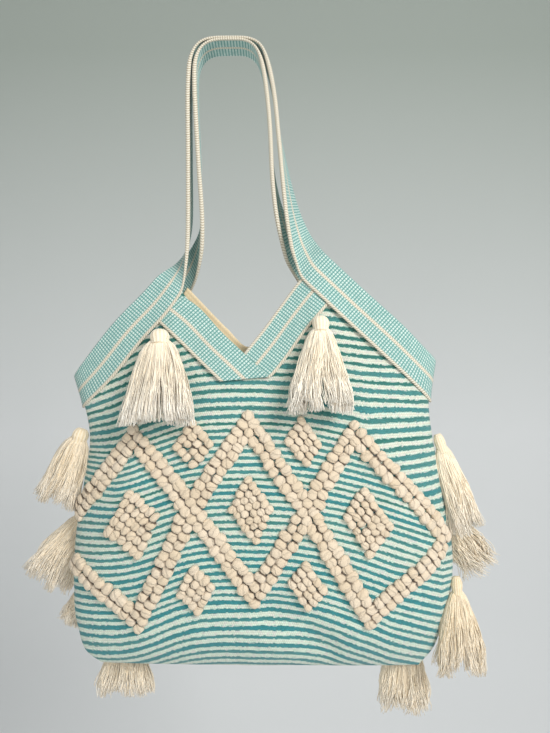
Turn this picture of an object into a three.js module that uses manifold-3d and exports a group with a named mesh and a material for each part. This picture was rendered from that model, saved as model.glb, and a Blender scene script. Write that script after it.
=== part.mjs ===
// Woven cotton tote bag: two cloth walls, webbing straps, a folded neck band, looped tufts and tassels.
// Millimetres, +Z up. The bag hangs from the origin, X runs to the right and Y from front to back.

import * as THREE from 'three';
import { mergeVertices } from 'three/addons/utils/BufferGeometryUtils.js';
import Module from 'manifold-3d';

const wasm = await Module();
wasm.setup();

// Driving dimensions
const clothWall = 1.8;
const webbingWall = 1.6;
const facingWall = 1.2;
const seamGap = 0.3; // between pieces that are sewn together
const layerGap = 1.1; // under webbing that follows a curved wall
const tuftGap = 1.04; // under the small diamonds of knots
const latticeGap = 1.4; // under the lattice, whose wider knots bridge more of the wall's curve
const facingGap = 0.6;
const sideHeight = 325; // length of a side seam
const halfWidth = 205;
const bottomTurn = 0.14; // share of the side over which the wall turns under
const leftRound = 2.6; // higher keeps the wall flat for longer before it turns round the seam
const rightRound = 3.4;
const seamRound = 0.6;
const backShare = 0.9; // fullness of the back against the front
const tuftHeight = 7.5;
const tuftValley = 3.5;
const tuftPeriod = 13; // knots from one lattice line to the next
const lineSpread = 1.35; // width of a knot across a lattice line against the even step
const lockSides = 4;

const frontSide = -1;
const backSide = 1;

// Side seams, from the bottom fold up to the neck's ends
const sideRows = [
  { up: 0.00, leftX: -146, leftZ: -694, rightX: 212, rightZ: -697 },
  { up: 0.04, leftX: -161, leftZ: -683, rightX: 226, rightZ: -681 },
  { up: 0.12, leftX: -172, leftZ: -655, rightX: 238, rightZ: -652 },
  { up: 0.28, leftX: -177, leftZ: -600, rightX: 250, rightZ: -598 },
  { up: 0.42, leftX: -175, leftZ: -552, rightX: 249, rightZ: -552 },
  { up: 0.60, leftX: -166, leftZ: -492, rightX: 239, rightZ: -495 },
  { up: 0.76, leftX: -159, leftZ: -440, rightX: 227, rightZ: -434 },
  { up: 0.90, leftX: -166, leftZ: -400, rightX: 224, rightZ: -392 },
  { up: 1.00, leftX: -174, leftZ: -372, rightX: 229, rightZ: -356 },
];

// How far the front stands out in the middle at each height
const bulgeRows = [
  { z: -697, bulge: 30 },
  { z: -653, bulge: 40 },
  { z: -600, bulge: 46 },
  { z: -552, bulge: 47 },
  { z: -495, bulge: 44 },
  { z: -437, bulge: 38 },
  { z: -348, bulge: 27 },
  { z: -262, bulge: 18 },
];

// Neck edge: how far it stands above the line between the two seam tops
const neckRows = [
  { across: -1.00, rise: 0 }, // left seam
  { across: -0.41, rise: 93 }, // left peak
  { across: -0.18, rise: 36 },
  { across: -0.04, rise: 15 }, // point of the V
  { across: 0.05, rise: 35 },
  { across: 0.29, rise: 101 }, // right peak
  { across: 1.00, rise: 0 }, // right seam
];

// Drape folds and dents of the front, each a soft ridge between two places
const foldRows = [
  { fromAcross: -0.42, fromUp: 1.00, toAcross: -0.78, toUp: 0.42, width: 24, height: 5 },
  { fromAcross: 0.30, fromUp: 1.00, toAcross: 0.80, toUp: 0.40, width: 26, height: 5 },
  { fromAcross: -0.90, fromUp: 0.80, toAcross: -0.62, toUp: 0.62, width: 22, height: -5 },
  { fromAcross: 0.18, fromUp: 0.06, toAcross: 0.52, toUp: 0.13, width: 18, height: -6 },
  { fromAcross: -0.03, fromUp: 0.98, toAcross: -0.02, toUp: 0.72, width: 30, height: -4 },
];

// Side bands of a strap, from a seam up to a peak, edge to edge as seen from the front
const leftBandRows = [
  { outerX: -174.5, outerZ: -369, innerX: -164.5, innerZ: -407 },
  { outerX: -149, outerZ: -340, innerX: -124, innerZ: -371 },
  { outerX: -117, outerZ: -304, innerX: -89, innerZ: -329 },
  { outerX: -92, outerZ: -277, innerX: -65, innerZ: -303 },
  { outerX: -74, outerZ: -252, innerX: -48, innerZ: -279 },
];
const rightBandRows = [
  { outerX: 229.5, outerZ: -352, innerX: 224.5, innerZ: -401 },
  { outerX: 213, outerZ: -338, innerX: 193, innerZ: -372 },
  { outerX: 190, outerZ: -317, innerX: 164, innerZ: -347 },
  { outerX: 160, outerZ: -290, innerX: 134, innerZ: -319 },
  { outerX: 132, outerZ: -264, innerX: 106, innerZ: -293 },
  { outerX: 102, outerZ: -236, innerX: 76, innerZ: -264 },
];

// Handle of the front strap: it lies outside, and turns from the face of the bag to stand edge on
const frontHandleRows = [
  { outerX: -60, outerY: 4, outerZ: -238, innerX: -47, innerY: -27, innerZ: -256 },
  { outerX: -52, outerY: 14, outerZ: -224, innerX: -46, innerY: -22, innerZ: -231 },
  { outerX: -47, outerY: 19, outerZ: -203, innerX: -46, innerY: -19, innerZ: -205 },
  { outerX: -46, outerY: 19, outerZ: -125, innerX: -46, innerY: -19, innerZ: -125 },
  { outerX: -46, outerY: 19, outerZ: -45, innerX: -46, innerY: -19, innerZ: -45 },
  { outerX: -43, outerY: 19, outerZ: -17, innerX: -43, innerY: -19, innerZ: -17 },
  { outerX: -34, outerY: 19, outerZ: -2, innerX: -34, innerY: -19, innerZ: -2 },
  { outerX: -20, outerY: 19, outerZ: 2.6, innerX: -20, innerY: -19, innerZ: 2.6 },
  { outerX: 0, outerY: 19, outerZ: 3, innerX: 0, innerY: -19, innerZ: 3 },
  { outerX: 20, outerY: 19, outerZ: 2.6, innerX: 20, innerY: -19, innerZ: 2.6 },
  { outerX: 33, outerY: 19, outerZ: -3, innerX: 33, innerY: -19, innerZ: -3 },
  { outerX: 41, outerY: 19, outerZ: -20, innerX: 41, innerY: -19, innerZ: -20 },
  { outerX: 50, outerY: 19, outerZ: -58, innerX: 49, innerY: -19, innerZ: -58 },
  { outerX: 57, outerY: 19, outerZ: -96, innerX: 53, innerY: -19, innerZ: -98 },
  { outerX: 69, outerY: 17, outerZ: -150, innerX: 58, innerY: -19, innerZ: -156 },
  { outerX: 80, outerY: 12, outerZ: -187, innerX: 62, innerY: -20, innerZ: -198 },
  { outerX: 91, outerY: 1, outerZ: -213, innerX: 67, innerY: -22, innerZ: -232 },
];

// Handle of the back strap: it lies inside the front one
const backHandleRows = [
  { outerX: -56, outerY: 21, outerZ: -234, innerX: -40, innerY: 8, innerZ: -262 },
  { outerX: -45, outerY: 21, outerZ: -219, innerX: -32, innerY: -9, innerZ: -237 },
  { outerX: -36, outerY: 20, outerZ: -198, innerX: -30, innerY: -17, innerZ: -206 },
  { outerX: -36, outerY: 19, outerZ: -125, innerX: -35, innerY: -19, innerZ: -125 },
  { outerX: -39, outerY: 19, outerZ: -45, innerX: -39, innerY: -19, innerZ: -45 },
  { outerX: -37.5, outerY: 19, outerZ: -19, innerX: -37.5, innerY: -19, innerZ: -19 },
  { outerX: -30, outerY: 19, outerZ: -5, innerX: -30, innerY: -19, innerZ: -5 },
  { outerX: -18, outerY: 19, outerZ: 0.3, innerX: -18, innerY: -19, innerZ: 0.3 },
  { outerX: 0, outerY: 19, outerZ: 0.8, innerX: 0, innerY: -19, innerZ: 0.8 },
  { outerX: 18, outerY: 19, outerZ: 0.3, innerX: 18, innerY: -19, innerZ: 0.3 },
  { outerX: 28, outerY: 19, outerZ: -6, innerX: 28, innerY: -19, innerZ: -6 },
  { outerX: 35, outerY: 19, outerZ: -22, innerX: 35, innerY: -19, innerZ: -22 },
  { outerX: 41, outerY: 19, outerZ: -58, innerX: 41, innerY: -19, innerZ: -58 },
  { outerX: 45, outerY: 19, outerZ: -98, innerX: 44.5, innerY: -19, innerZ: -98 },
  { outerX: 52, outerY: 20, outerZ: -152, innerX: 47, innerY: -19, innerZ: -156 },
  { outerX: 65, outerY: 21, outerZ: -192, innerX: 52, innerY: -15, innerZ: -200 },
  { outerX: 85, outerY: 21, outerZ: -217, innerX: 62, innerY: 4, innerZ: -242 },
];

// Neck band: one webbing folded at the point of the V, from the neck's edge down to its lower edge
const neckBandRows = [
  { outerX: -79, outerZ: -309, innerX: -53, innerZ: -281 },
  { outerX: -60, outerZ: -327, innerX: -32, innerZ: -296 },
  { outerX: -36, outerZ: -350, innerX: -9, innerZ: -321 },
  { outerX: -10, outerZ: -375, innerX: 16, innerZ: -339 },
  { outerX: 16, outerZ: -373.5, innerX: 19.5, innerZ: -342 },
  { outerX: 45, outerZ: -371, innerX: 23, innerZ: -337 },
  { outerX: 64, outerZ: -349, innerX: 37, innerZ: -319 },
  { outerX: 82, outerZ: -323, innerX: 53, innerZ: -297 },
  { outerX: 102, outerZ: -299, innerX: 72, innerZ: -271 },
];

// Facing strip inside the back neck, from just above the wall's edge down to its lower edge
const facingRows = [
  { outerX: -48, outerZ: -277, innerX: -52, innerZ: -284 },
  { outerX: -8, outerZ: -318, innerX: -14, innerZ: -325 },
  { outerX: 18.5, outerZ: -338, innerX: 18.5, innerZ: -349 },
  { outerX: 36, outerZ: -318, innerX: 42, innerZ: -325 },
  { outerX: 72, outerZ: -271, innerX: 77, innerZ: -278 },
];

// Columns of the knotted pattern along its middle row: the cloth bows down towards both seams
const patternRows = [
  { column: -3.25, x: -166, z: -542 },
  { column: -3, x: -162, z: -541 },
  { column: -2, x: -104, z: -532 },
  { column: -1, x: -38, z: -512 },
  { column: 0, x: 23.5, z: -509 },
  { column: 1, x: 84, z: -513 },
  { column: 2, x: 149, z: -527 },
  { column: 3, x: 235, z: -557 },
  { column: 3.25, x: 240, z: -560 },
];
const patternUp = 95; // from the middle row to the upper points
const patternDown = 100; // from the middle row to the lower points
const patternTaper = 0.07; // the pattern narrows towards its upper points

// Small solid diamonds, by their place in the pattern and the number of knots along a side
const diamondRows = [
  { name: 'tuft_diamond_left', column: -2, row: 0, knots: 5 },
  { name: 'tuft_diamond_middle', column: 0, row: 0, knots: 5 },
  { name: 'tuft_diamond_right', column: 2, row: 0, knots: 5 },
  { name: 'tuft_notch_top_left', column: -1, row: 0.7, knots: 4 },
  { name: 'tuft_notch_top_right', column: 1, row: 0.8, knots: 4 },
  { name: 'tuft_notch_bottom_left', column: -1, row: -0.84, knots: 4 },
  { name: 'tuft_notch_bottom_right', column: 1, row: -0.8, knots: 4 },
];

// Tassels: middle of the head and of the tips, the head's radius and tallness, half the skirt's width and depth.
// The heads of some lie behind the bag, so that only their skirts show from the front.
const tasselRows = [
  { name: 'tassel_front_left', headX: -73, headY: -36.2, headZ: -326, tipX: -71, tipY: -66, tipZ: -422,
    head: 10.5, tall: 1.0, wide: 40, deep: 15, locks: 6 },
  { name: 'tassel_front_right', headX: 99, headY: -37.2, headZ: -313, tipX: 97, tipY: -64, tipZ: -408,
    head: 10, tall: 1.1, wide: 36, deep: 14, locks: 5 },
  { name: 'tassel_left_1', headX: -169.9, headY: 0, headZ: -438, tipX: -198, tipY: -4, tipZ: -514,
    head: 9.5, tall: 1.0, wide: 23, deep: 15, locks: 5 },
  { name: 'tassel_left_2', headX: -166, headY: 20.8, headZ: -532, tipX: -214, tipY: 24, tipZ: -600,
    head: 9, tall: 1.0, wide: 25, deep: 12, locks: 5 },
  { name: 'tassel_left_3', headX: -168, headY: 19.9, headZ: -612, tipX: -190, tipY: 22, tipZ: -658,
    head: 8, tall: 1.0, wide: 14, deep: 10, locks: 4 },
  { name: 'tassel_left_4', headX: -122, headY: 24.8, headZ: -675, tipX: -121, tipY: 22, tipZ: -744,
    head: 8, tall: 1.0, wide: 33, deep: 12, locks: 5 },
  { name: 'tassel_right_1', headX: 235.6, headY: -3, headZ: -446, tipX: 265, tipY: -17, tipZ: -548,
    head: 6.5, tall: 1.9, wide: 14, deep: 9, locks: 4 },
  { name: 'tassel_right_2', headX: 243, headY: 18.9, headZ: -530, tipX: 292, tipY: 22, tipZ: -590,
    head: 8.5, tall: 1.0, wide: 24, deep: 12, locks: 5 },
  { name: 'tassel_right_3', headX: 256, headY: -8, headZ: -604, tipX: 264, tipY: -20, tipZ: -704,
    head: 6.5, tall: 1.7, wide: 26, deep: 13, locks: 5 },
  { name: 'tassel_right_4', headX: 200, headY: 23.4, headZ: -676, tipX: 204, tipY: 22, tipZ: -762,
    head: 8, tall: 1.0, wide: 32, deep: 12, locks: 5 },
];

// Bell of a tassel: how far a lock stands out and how thick it is, on the way down from the head to the tip
const bellRows = [
  { down: 0.00, spread: 0.10, girth: 0.14 },
  { down: 0.22, spread: 0.46, girth: 0.28 },
  { down: 1.00, spread: 0.66, girth: 0.34 },
];
const coreLength = 0.86; // the middle of the bell is shorter than its locks

// Finishes
const stripedCloth = new THREE.MeshStandardMaterial({ color: '#9cc0b8', roughness: 0.95, metalness: 0 });
const webbing = new THREE.MeshStandardMaterial({ color: '#8fbfb6', roughness: 0.9, metalness: 0 });
const tanTape = new THREE.MeshStandardMaterial({ color: '#e8d2aa', roughness: 0.95, metalness: 0 });
const tuftYarn = new THREE.MeshStandardMaterial({ color: '#e6d3b9', roughness: 0.95, metalness: 0 });
const tasselYarn = new THREE.MeshStandardMaterial({ color: '#ede3d3', roughness: 0.95, metalness: 0 });

const lerp = THREE.MathUtils.lerp;
const clamp = THREE.MathUtils.clamp;

// Column of a table as a function of the place along it, level past the table's ends
function columnOf(rows, key, name, Interpolant = THREE.CubicInterpolant) {
  const places = Float64Array.from(rows, (row) => row[key]);
  const values = Float64Array.from(rows, (row) => row[name]);
  const curve = new Interpolant(places, values, 1);
  return (place) => curve.evaluate(place)[0];
}

const leftX = columnOf(sideRows, 'up', 'leftX');
const leftZ = columnOf(sideRows, 'up', 'leftZ');
const rightX = columnOf(sideRows, 'up', 'rightX');
const rightZ = columnOf(sideRows, 'up', 'rightZ');
const bulge = columnOf(bulgeRows, 'z', 'bulge');
const neckRise = columnOf(neckRows, 'across', 'rise', THREE.LinearInterpolant);
const patternX = columnOf(patternRows, 'column', 'x');
const patternZ = columnOf(patternRows, 'column', 'z');

// Height of a place on a wall: across runs from -1 to 1 between the seams, up from 0 to 1 and past the edge
function heightAt(across, up) {
  const side = lerp(leftZ(up), rightZ(up), (across + 1) / 2);
  const pastEdge = Math.max(up - 1, 0) * sideHeight;
  return side + pastEdge + neckRise(across) * up;
}

// How full the wall stands between the seams, from 0 at a seam to 1 in the middle
function fullness(across) {
  const power = across < 0 ? leftRound : rightRound;
  return Math.pow(1 - Math.pow(Math.min(Math.abs(across), 1), power), seamRound);
}

// Height of all folds at a place on the front
function foldAt(across, up) {
  const place = new THREE.Vector3(across * halfWidth, 0, up * sideHeight);
  const nearest = new THREE.Vector3();
  let height = 0;
  for (const fold of foldRows) {
    const start = new THREE.Vector3(fold.fromAcross * halfWidth, 0, fold.fromUp * sideHeight);
    const end = new THREE.Vector3(fold.toAcross * halfWidth, 0, fold.toUp * sideHeight);
    new THREE.Line3(start, end).closestPointToPoint(place, true, nearest);
    const away = nearest.distanceTo(place) / fold.width;
    height += fold.height * Math.exp(-away * away);
  }
  return height;
}

// Point on a wall, lifted off its outer face, or sunk under it where lift is negative
function onWall(across, up, facing, lift = 0) {
  const x = lerp(leftX(up) - lift, rightX(up) + lift, (across + 1) / 2);
  const under = Math.max(1 - up / bottomTurn, 0);
  const z = heightAt(across, up);
  const full = facing === frontSide ? bulge(z) + foldAt(across, up) : bulge(z) * backShare;
  const depth = fullness(across) * Math.sqrt(1 - under * under) * (full + lift);
  return new THREE.Vector3(x, facing * (seamGap / 2 + depth), z - lift * under);
}

// Place on a wall that is seen at x and z from the front, found by a few steps of Newton's method
function placeOf(x, z) {
  const nudge = 0.01;
  let up = 0.7;
  let across = 0;
  for (let step = 0; step < 12; step += 1) {
    across = clamp(2 * (x - leftX(up)) / (rightX(up) - leftX(up)) - 1, -1, 1);
    const slope = (heightAt(across, up + nudge) - heightAt(across, up)) / nudge;
    up = clamp(up + (z - heightAt(across, up)) / slope, 0, 1.4);
  }
  return { across, up };
}

// Closed geometry of points and triangles, turned so that its faces point out
function closedGeometry(points, faces) {
  let volume = 0;
  for (let i = 0; i < faces.length; i += 3) {
    const [a, b, c] = [points[faces[i]], points[faces[i + 1]], points[faces[i + 2]]];
    volume += a.dot(b.clone().cross(c));
  }
  const geometry = new THREE.BufferGeometry().setFromPoints(points);
  geometry.setIndex(volume < 0 ? faces.toReversed() : faces);
  geometry.computeVertexNormals();
  return geometry;
}

// Closed solid between two grids of points with the same rows and columns
function shellBetween(top, under) {
  const lastRow = top.length - 1;
  const lastColumn = top[0].length - 1;
  const layerSize = top.length * top[0].length;
  const at = (layer, row, column) => layer * layerSize + row * top[0].length + column;
  const faces = [];
  const quad = (a, b, c, d) => faces.push(a, b, c, a, c, d);
  for (let row = 0; row < lastRow; row += 1) {
    for (let column = 0; column < lastColumn; column += 1) {
      quad(at(0, row, column), at(0, row, column + 1), at(0, row + 1, column + 1), at(0, row + 1, column));
      quad(at(1, row, column), at(1, row + 1, column), at(1, row + 1, column + 1), at(1, row, column + 1));
    }
    quad(at(0, row, 0), at(0, row + 1, 0), at(1, row + 1, 0), at(1, row, 0));
    quad(
      at(0, row, lastColumn), at(1, row, lastColumn),
      at(1, row + 1, lastColumn), at(0, row + 1, lastColumn),
    );
  }
  for (let column = 0; column < lastColumn; column += 1) {
    quad(at(0, 0, column), at(1, 0, column), at(1, 0, column + 1), at(0, 0, column + 1));
    quad(
      at(0, lastRow, column), at(0, lastRow, column + 1),
      at(1, lastRow, column + 1), at(1, lastRow, column),
    );
  }
  return closedGeometry([...top.flat(), ...under.flat()], faces);
}

// Wall of the bag, with steps drawn closer towards the seams and the bottom fold
function wallGeometry(facing, acrossSteps, upSteps) {
  const crowding = 0.65;
  const acrossPlaces = Array.from({ length: acrossSteps + 1 }, (_, i) => {
    const even = 2 * i / acrossSteps - 1;
    return lerp(even, Math.sin(even * Math.PI / 2), crowding);
  });
  const upPlaces = sharesOf(upSteps, 1.4);
  const layer = (lift) => upPlaces.map((up) => (
    acrossPlaces.map((across) => onWall(across, up, facing, lift))
  ));
  return shellBetween(layer(0), layer(-clothWall));
}

// Smooth line through the outer or inner edge points of a table
function edgeCurve(rows, edge) {
  const points = rows.map((row) => new THREE.Vector3(row[`${edge}X`], row[`${edge}Y`] ?? 0, row[`${edge}Z`]));
  return new THREE.CatmullRomCurve3(points, false, 'centripetal');
}

// Points of a strip that lies on a wall, at shares of its length and from its outer to its inner edge
function stripOnWall(rows, facing, shares, acrossSteps, liftAt) {
  const outer = edgeCurve(rows, 'outer');
  const inner = edgeCurve(rows, 'inner');
  return shares.map((share) => Array.from({ length: acrossSteps + 1 }, (_, j) => {
    const spot = outer.getPoint(share).lerp(inner.getPoint(share), j / acrossSteps);
    const { across, up } = placeOf(spot.x, spot.z);
    return onWall(across, up, facing, liftAt(share));
  }));
}

// Shares of a length in even steps, or crowded towards its start by a power above 1
function sharesOf(steps, power = 1) {
  return Array.from({ length: steps + 1 }, (_, i) => Math.pow(i / steps, power));
}

// Both faces of a flat strip that hangs free between its two edges
function freeStrip(rows, steps, acrossSteps) {
  const outer = edgeCurve(rows, 'outer').getPoints(steps);
  const inner = edgeCurve(rows, 'inner').getPoints(steps);
  const middle = outer.map((spot, i) => spot.clone().lerp(inner[i], 0.5));
  const face = (side) => outer.map((start, i) => {
    const along = middle[Math.min(i + 1, steps)].clone().sub(middle[Math.max(i - 1, 0)]);
    const normal = along.cross(inner[i].clone().sub(start)).normalize();
    const half = normal.multiplyScalar(side * webbingWall / 2);
    return Array.from({ length: acrossSteps + 1 }, (_, j) => (
      start.clone().lerp(inner[i], j / acrossSteps).add(half)
    ));
  });
  return [face(-1), face(1)];
}

// Strap: left band, handle and right band in one length of webbing
function strapGeometry(facing, handleRows) {
  const handleSteps = 30;
  const acrossSteps = 3;
  const overNeckBand = layerGap + webbingWall + layerGap;
  const rampIn = (share) => lerp(layerGap, overNeckBand, THREE.MathUtils.smoothstep(share, 0.1, 0.5));
  const farFace = (share) => rampIn(share) + webbingWall;
  const [first, second] = facing === frontSide ? [farFace, rampIn] : [rampIn, farFace];
  const fromSeam = sharesOf(10, 1.7);
  const leftBand = (lift) => stripOnWall(leftBandRows, facing, fromSeam, acrossSteps, lift);
  const rightBand = (lift) => stripOnWall(rightBandRows, facing, fromSeam, acrossSteps, lift).reverse();
  const [handleFirst, handleSecond] = freeStrip(handleRows, handleSteps, acrossSteps);
  const top = [...leftBand(first), ...handleFirst, ...rightBand(first)];
  const under = [...leftBand(second), ...handleSecond, ...rightBand(second)];
  return shellBetween(top, under);
}

// Neck band: the folded V lies on the wall, under the straps' bands
function neckBandGeometry(facing) {
  const shares = sharesOf(16);
  const acrossSteps = 3;
  const layer = (lift) => stripOnWall(neckBandRows, facing, shares, acrossSteps, () => lift);
  return shellBetween(layer(layerGap + webbingWall), layer(layerGap));
}

// Facing strip on the inner face of the back wall
function facingGeometry() {
  const shares = sharesOf(12);
  const layer = (lift) => stripOnWall(facingRows, backSide, shares, 1, () => lift);
  return shellBetween(layer(-clothWall - facingGap), layer(-clothWall - facingGap - facingWall));
}

// Point over the front wall at a knot's place, counted along the two slanting directions of the pattern
function onPattern(right, left, lift) {
  const column = (right - left) / tuftPeriod - 2;
  const row = 1 - (right + left) / tuftPeriod;
  const taper = 1 - patternTaper * Math.max(row, 0);
  const x = lerp(patternX(0), patternX(column), taper);
  const z = patternZ(column) + row * (row > 0 ? patternUp : patternDown);
  const { across, up } = placeOf(x, z);
  return onWall(across, up, frontSide, lift);
}

// Knot count with the lattice's lines spread wider, and the knots between them drawn closer
function spreadLines(count) {
  const line = tuftPeriod * Math.round(count / tuftPeriod);
  const away = Math.abs(count - line);
  const half = tuftPeriod / 2;
  const spread = away < 1 ? away * lineSpread : lerp(lineSpread, half, (away - 1) / (half - 1));
  return line + Math.sign(count - line) * spread;
}

// Field of knots: each cell rises to a peak, valleys lie between cells, and the rim comes down to the cloth
function tuftGeometry(cells, gap, placed = (count) => count) {
  const key = (right, left) => `${Math.round(right * 100)},${Math.round(left * 100)}`;
  const filled = new Set(cells.map((cell) => key(cell.right, cell.left)));
  const points = [];
  const known = new Map();
  const pointAt = (name, right, left, lift) => {
    if (!known.has(name)) {
      known.set(name, points.length);
      points.push(onPattern(placed(right), placed(left), lift));
    }
    return known.get(name);
  };
  const inside = (right, left) => [[0, 0], [-1, 0], [0, -1], [-1, -1]]
    .every(([a, b]) => filled.has(key(right + a, left + b)));
  const faces = [];
  for (const { right, left } of cells) {
    const corners = [[right, left], [right + 1, left], [right + 1, left + 1], [right, left + 1]];
    const low = corners.map(([a, b]) => pointAt(`low ${key(a, b)}`, a, b, gap));
    const high = corners.map(([a, b], i) => (
      inside(a, b) ? pointAt(`high ${key(a, b)}`, a, b, gap + tuftValley) : low[i]
    ));
    const peak = pointAt(`peak ${key(right, left)}`, right + 0.5, left + 0.5, gap + tuftHeight);
    for (let i = 0; i < corners.length; i += 1) {
      faces.push(high[i], high[(i + 1) % corners.length], peak);
    }
    faces.push(low[0], low[2], low[1], low[0], low[3], low[2]);
  }
  return closedGeometry(points, faces);
}

// Cells of the lattice: lines two knots wide round three large diamonds in a row
function latticeCells() {
  const cells = new Map();
  for (let diamond = 0; diamond < 3; diamond += 1) {
    const firstRight = diamond * tuftPeriod - 1;
    const firstLeft = -diamond * tuftPeriod - 1;
    for (let a = 0; a <= tuftPeriod + 1; a += 1) {
      for (let b = 0; b <= tuftPeriod + 1; b += 1) {
        const onLine = [a, b].some((count) => count < 2 || count >= tuftPeriod);
        const cell = { right: firstRight + a, left: firstLeft + b };
        if (onLine) cells.set(`${cell.right},${cell.left}`, cell);
      }
    }
  }
  return [...cells.values()];
}

// Cells of a small solid diamond
function diamondCells({ column, row, knots }) {
  const firstRight = tuftPeriod * (column + 3 - row) / 2 - knots / 2;
  const firstLeft = tuftPeriod * (-column - 1 - row) / 2 - knots / 2;
  const cells = [];
  for (let a = 0; a < knots; a += 1) {
    for (let b = 0; b < knots; b += 1) cells.push({ right: firstRight + a, left: firstLeft + b });
  }
  return cells;
}

// Solid of a closed geometry, for joining
function solidOf(geometry) {
  const bare = geometry.clone();
  bare.deleteAttribute('normal');
  bare.deleteAttribute('uv');
  const merged = mergeVertices(bare, 1e-3);
  const vertProperties = new Float32Array(merged.attributes.position.array);
  const triVerts = new Uint32Array(merged.index.array);
  return new wasm.Manifold(new wasm.Mesh({ numProp: 3, vertProperties, triVerts }));
}

// Geometry of a joined solid
function geometryOf(solid) {
  const mesh = solid.getMesh();
  const geometry = new THREE.BufferGeometry();
  geometry.setAttribute('position', new THREE.BufferAttribute(mesh.vertProperties, 3));
  geometry.setIndex(new THREE.BufferAttribute(mesh.triVerts, 1));
  geometry.computeVertexNormals();
  return geometry;
}

// Closed tube through rings of points, with flat ends
function tubeThrough(rings) {
  const sides = rings[0].length;
  const last = rings.length - 1;
  const faces = [];
  for (let side = 0; side < sides; side += 1) {
    const next = (side + 1) % sides;
    for (let ring = 0; ring < last; ring += 1) {
      const low = ring * sides;
      const high = low + sides;
      faces.push(low + side, low + next, high + next, low + side, high + next, high + side);
    }
    if (side > 0 && next > 0) {
      faces.push(0, next, side, last * sides, last * sides + side, last * sides + next);
    }
  }
  return closedGeometry(rings.flat(), faces);
}

// Tassel: a round head with a bell of locks joined to it, each lock ending at its own length
function tasselGeometry(row) {
  const head = new THREE.Vector3(row.headX, row.headY, row.headZ);
  const tip = new THREE.Vector3(row.tipX, row.tipY, row.tipZ);
  const upWay = head.clone().sub(tip).normalize();
  const acrossWay = new THREE.Vector3(0, -1, 0).cross(upWay).normalize();
  const depthWay = acrossWay.clone().cross(upWay);
  const turn = new THREE.Matrix4().makeBasis(acrossWay, upWay, depthWay);
  const ball = new THREE.SphereGeometry(row.head, 7, 5).scale(1, row.tall, 1);
  const root = head.clone().addScaledVector(upWay, -row.head * row.tall * 0.6);
  const bellPoint = (down, across, depth) => root.clone().lerp(tip, down)
    .addScaledVector(acrossWay, across * row.wide)
    .addScaledVector(depthWay, depth * row.deep);
  const lockThrough = (angle, length, stand) => tubeThrough(bellRows.map(({ down, spread, girth }) => (
    Array.from({ length: lockSides }, (_, side) => {
      const round = 2 * Math.PI * side / lockSides;
      const across = stand * spread * Math.cos(angle) + girth * Math.cos(round);
      const depth = stand * spread * Math.sin(angle) + girth * Math.sin(round);
      return bellPoint(down * length, across, depth);
    })
  )));
  let solid = solidOf(ball.applyMatrix4(turn.setPosition(head)));
  solid = solid.add(solidOf(lockThrough(0, coreLength, 0)));
  for (let lock = 0; lock < row.locks; lock += 1) {
    const angle = 2 * Math.PI * (lock + 0.25) / row.locks;
    const length = 1 - 0.06 * (1 + Math.cos(3 * lock + 1));
    solid = solid.add(solidOf(lockThrough(angle, length, 1)));
  }
  return geometryOf(solid);
}

// The bag
const bag = new THREE.Group();

function addPiece(name, geometry, material) {
  const piece = new THREE.Mesh(geometry, material);
  piece.name = name;
  bag.add(piece);
}

addPiece('front_panel', wallGeometry(frontSide, 28, 18), stripedCloth);
addPiece('back_panel', wallGeometry(backSide, 24, 14), stripedCloth);
addPiece('front_strap', strapGeometry(frontSide, frontHandleRows), webbing);
addPiece('back_strap', strapGeometry(backSide, backHandleRows), webbing);
addPiece('front_neck_band', neckBandGeometry(frontSide), webbing);
addPiece('back_neck_band', neckBandGeometry(backSide), webbing);
addPiece('back_neck_facing', facingGeometry(), tanTape);
addPiece('tuft_lattice', tuftGeometry(latticeCells(), latticeGap, spreadLines), tuftYarn);
diamondRows.forEach((row) => addPiece(row.name, tuftGeometry(diamondCells(row), tuftGap), tuftYarn));
tasselRows.forEach((row) => addPiece(row.name, tasselGeometry(row), tasselYarn));

export default bag;
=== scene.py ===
import math
import bpy
import numpy as np
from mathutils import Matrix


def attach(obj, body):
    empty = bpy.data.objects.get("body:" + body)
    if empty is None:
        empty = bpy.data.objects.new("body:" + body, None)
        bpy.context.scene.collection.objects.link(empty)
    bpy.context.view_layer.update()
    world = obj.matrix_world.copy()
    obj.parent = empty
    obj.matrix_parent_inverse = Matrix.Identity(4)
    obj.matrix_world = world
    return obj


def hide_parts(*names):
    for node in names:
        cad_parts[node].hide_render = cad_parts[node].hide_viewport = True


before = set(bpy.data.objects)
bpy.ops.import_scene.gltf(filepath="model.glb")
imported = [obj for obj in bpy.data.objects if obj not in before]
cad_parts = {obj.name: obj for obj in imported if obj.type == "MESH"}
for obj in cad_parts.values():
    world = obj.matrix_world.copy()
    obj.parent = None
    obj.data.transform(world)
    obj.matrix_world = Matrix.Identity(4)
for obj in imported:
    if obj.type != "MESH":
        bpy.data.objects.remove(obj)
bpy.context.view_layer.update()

# Woven cotton tote bag. Sizes in the tables are millimetres, and meshes are made in metres.
frontSide = -1
backSide = 1
mm = 0.001


# Curve through a table: cubic pieces whose slope at a row is the weighted mean of the chords beside it
def smoothColumn(places, values):
    places = np.asarray(places, float)
    values = np.asarray(values, float)
    steps = np.diff(places)
    chords = np.diff(values) / steps
    slopes = np.empty_like(values)
    slopes[0], slopes[-1] = chords[0], chords[-1]
    slopes[1:-1] = (chords[:-1] * steps[1:] + chords[1:] * steps[:-1]) / (steps[:-1] + steps[1:])

    def at(place):
        place = np.clip(place, places[0], places[-1])
        i = np.clip(np.searchsorted(places, place, side="right") - 1, 0, len(steps) - 1)
        t = (place - places[i]) / steps[i]
        start = values[i] * (1 + 2 * t) * (1 - t) ** 2 + slopes[i] * steps[i] * t * (1 - t) ** 2
        end = values[i + 1] * t * t * (3 - 2 * t) + slopes[i + 1] * steps[i] * t * t * (t - 1)
        return start + end
    return at


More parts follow.
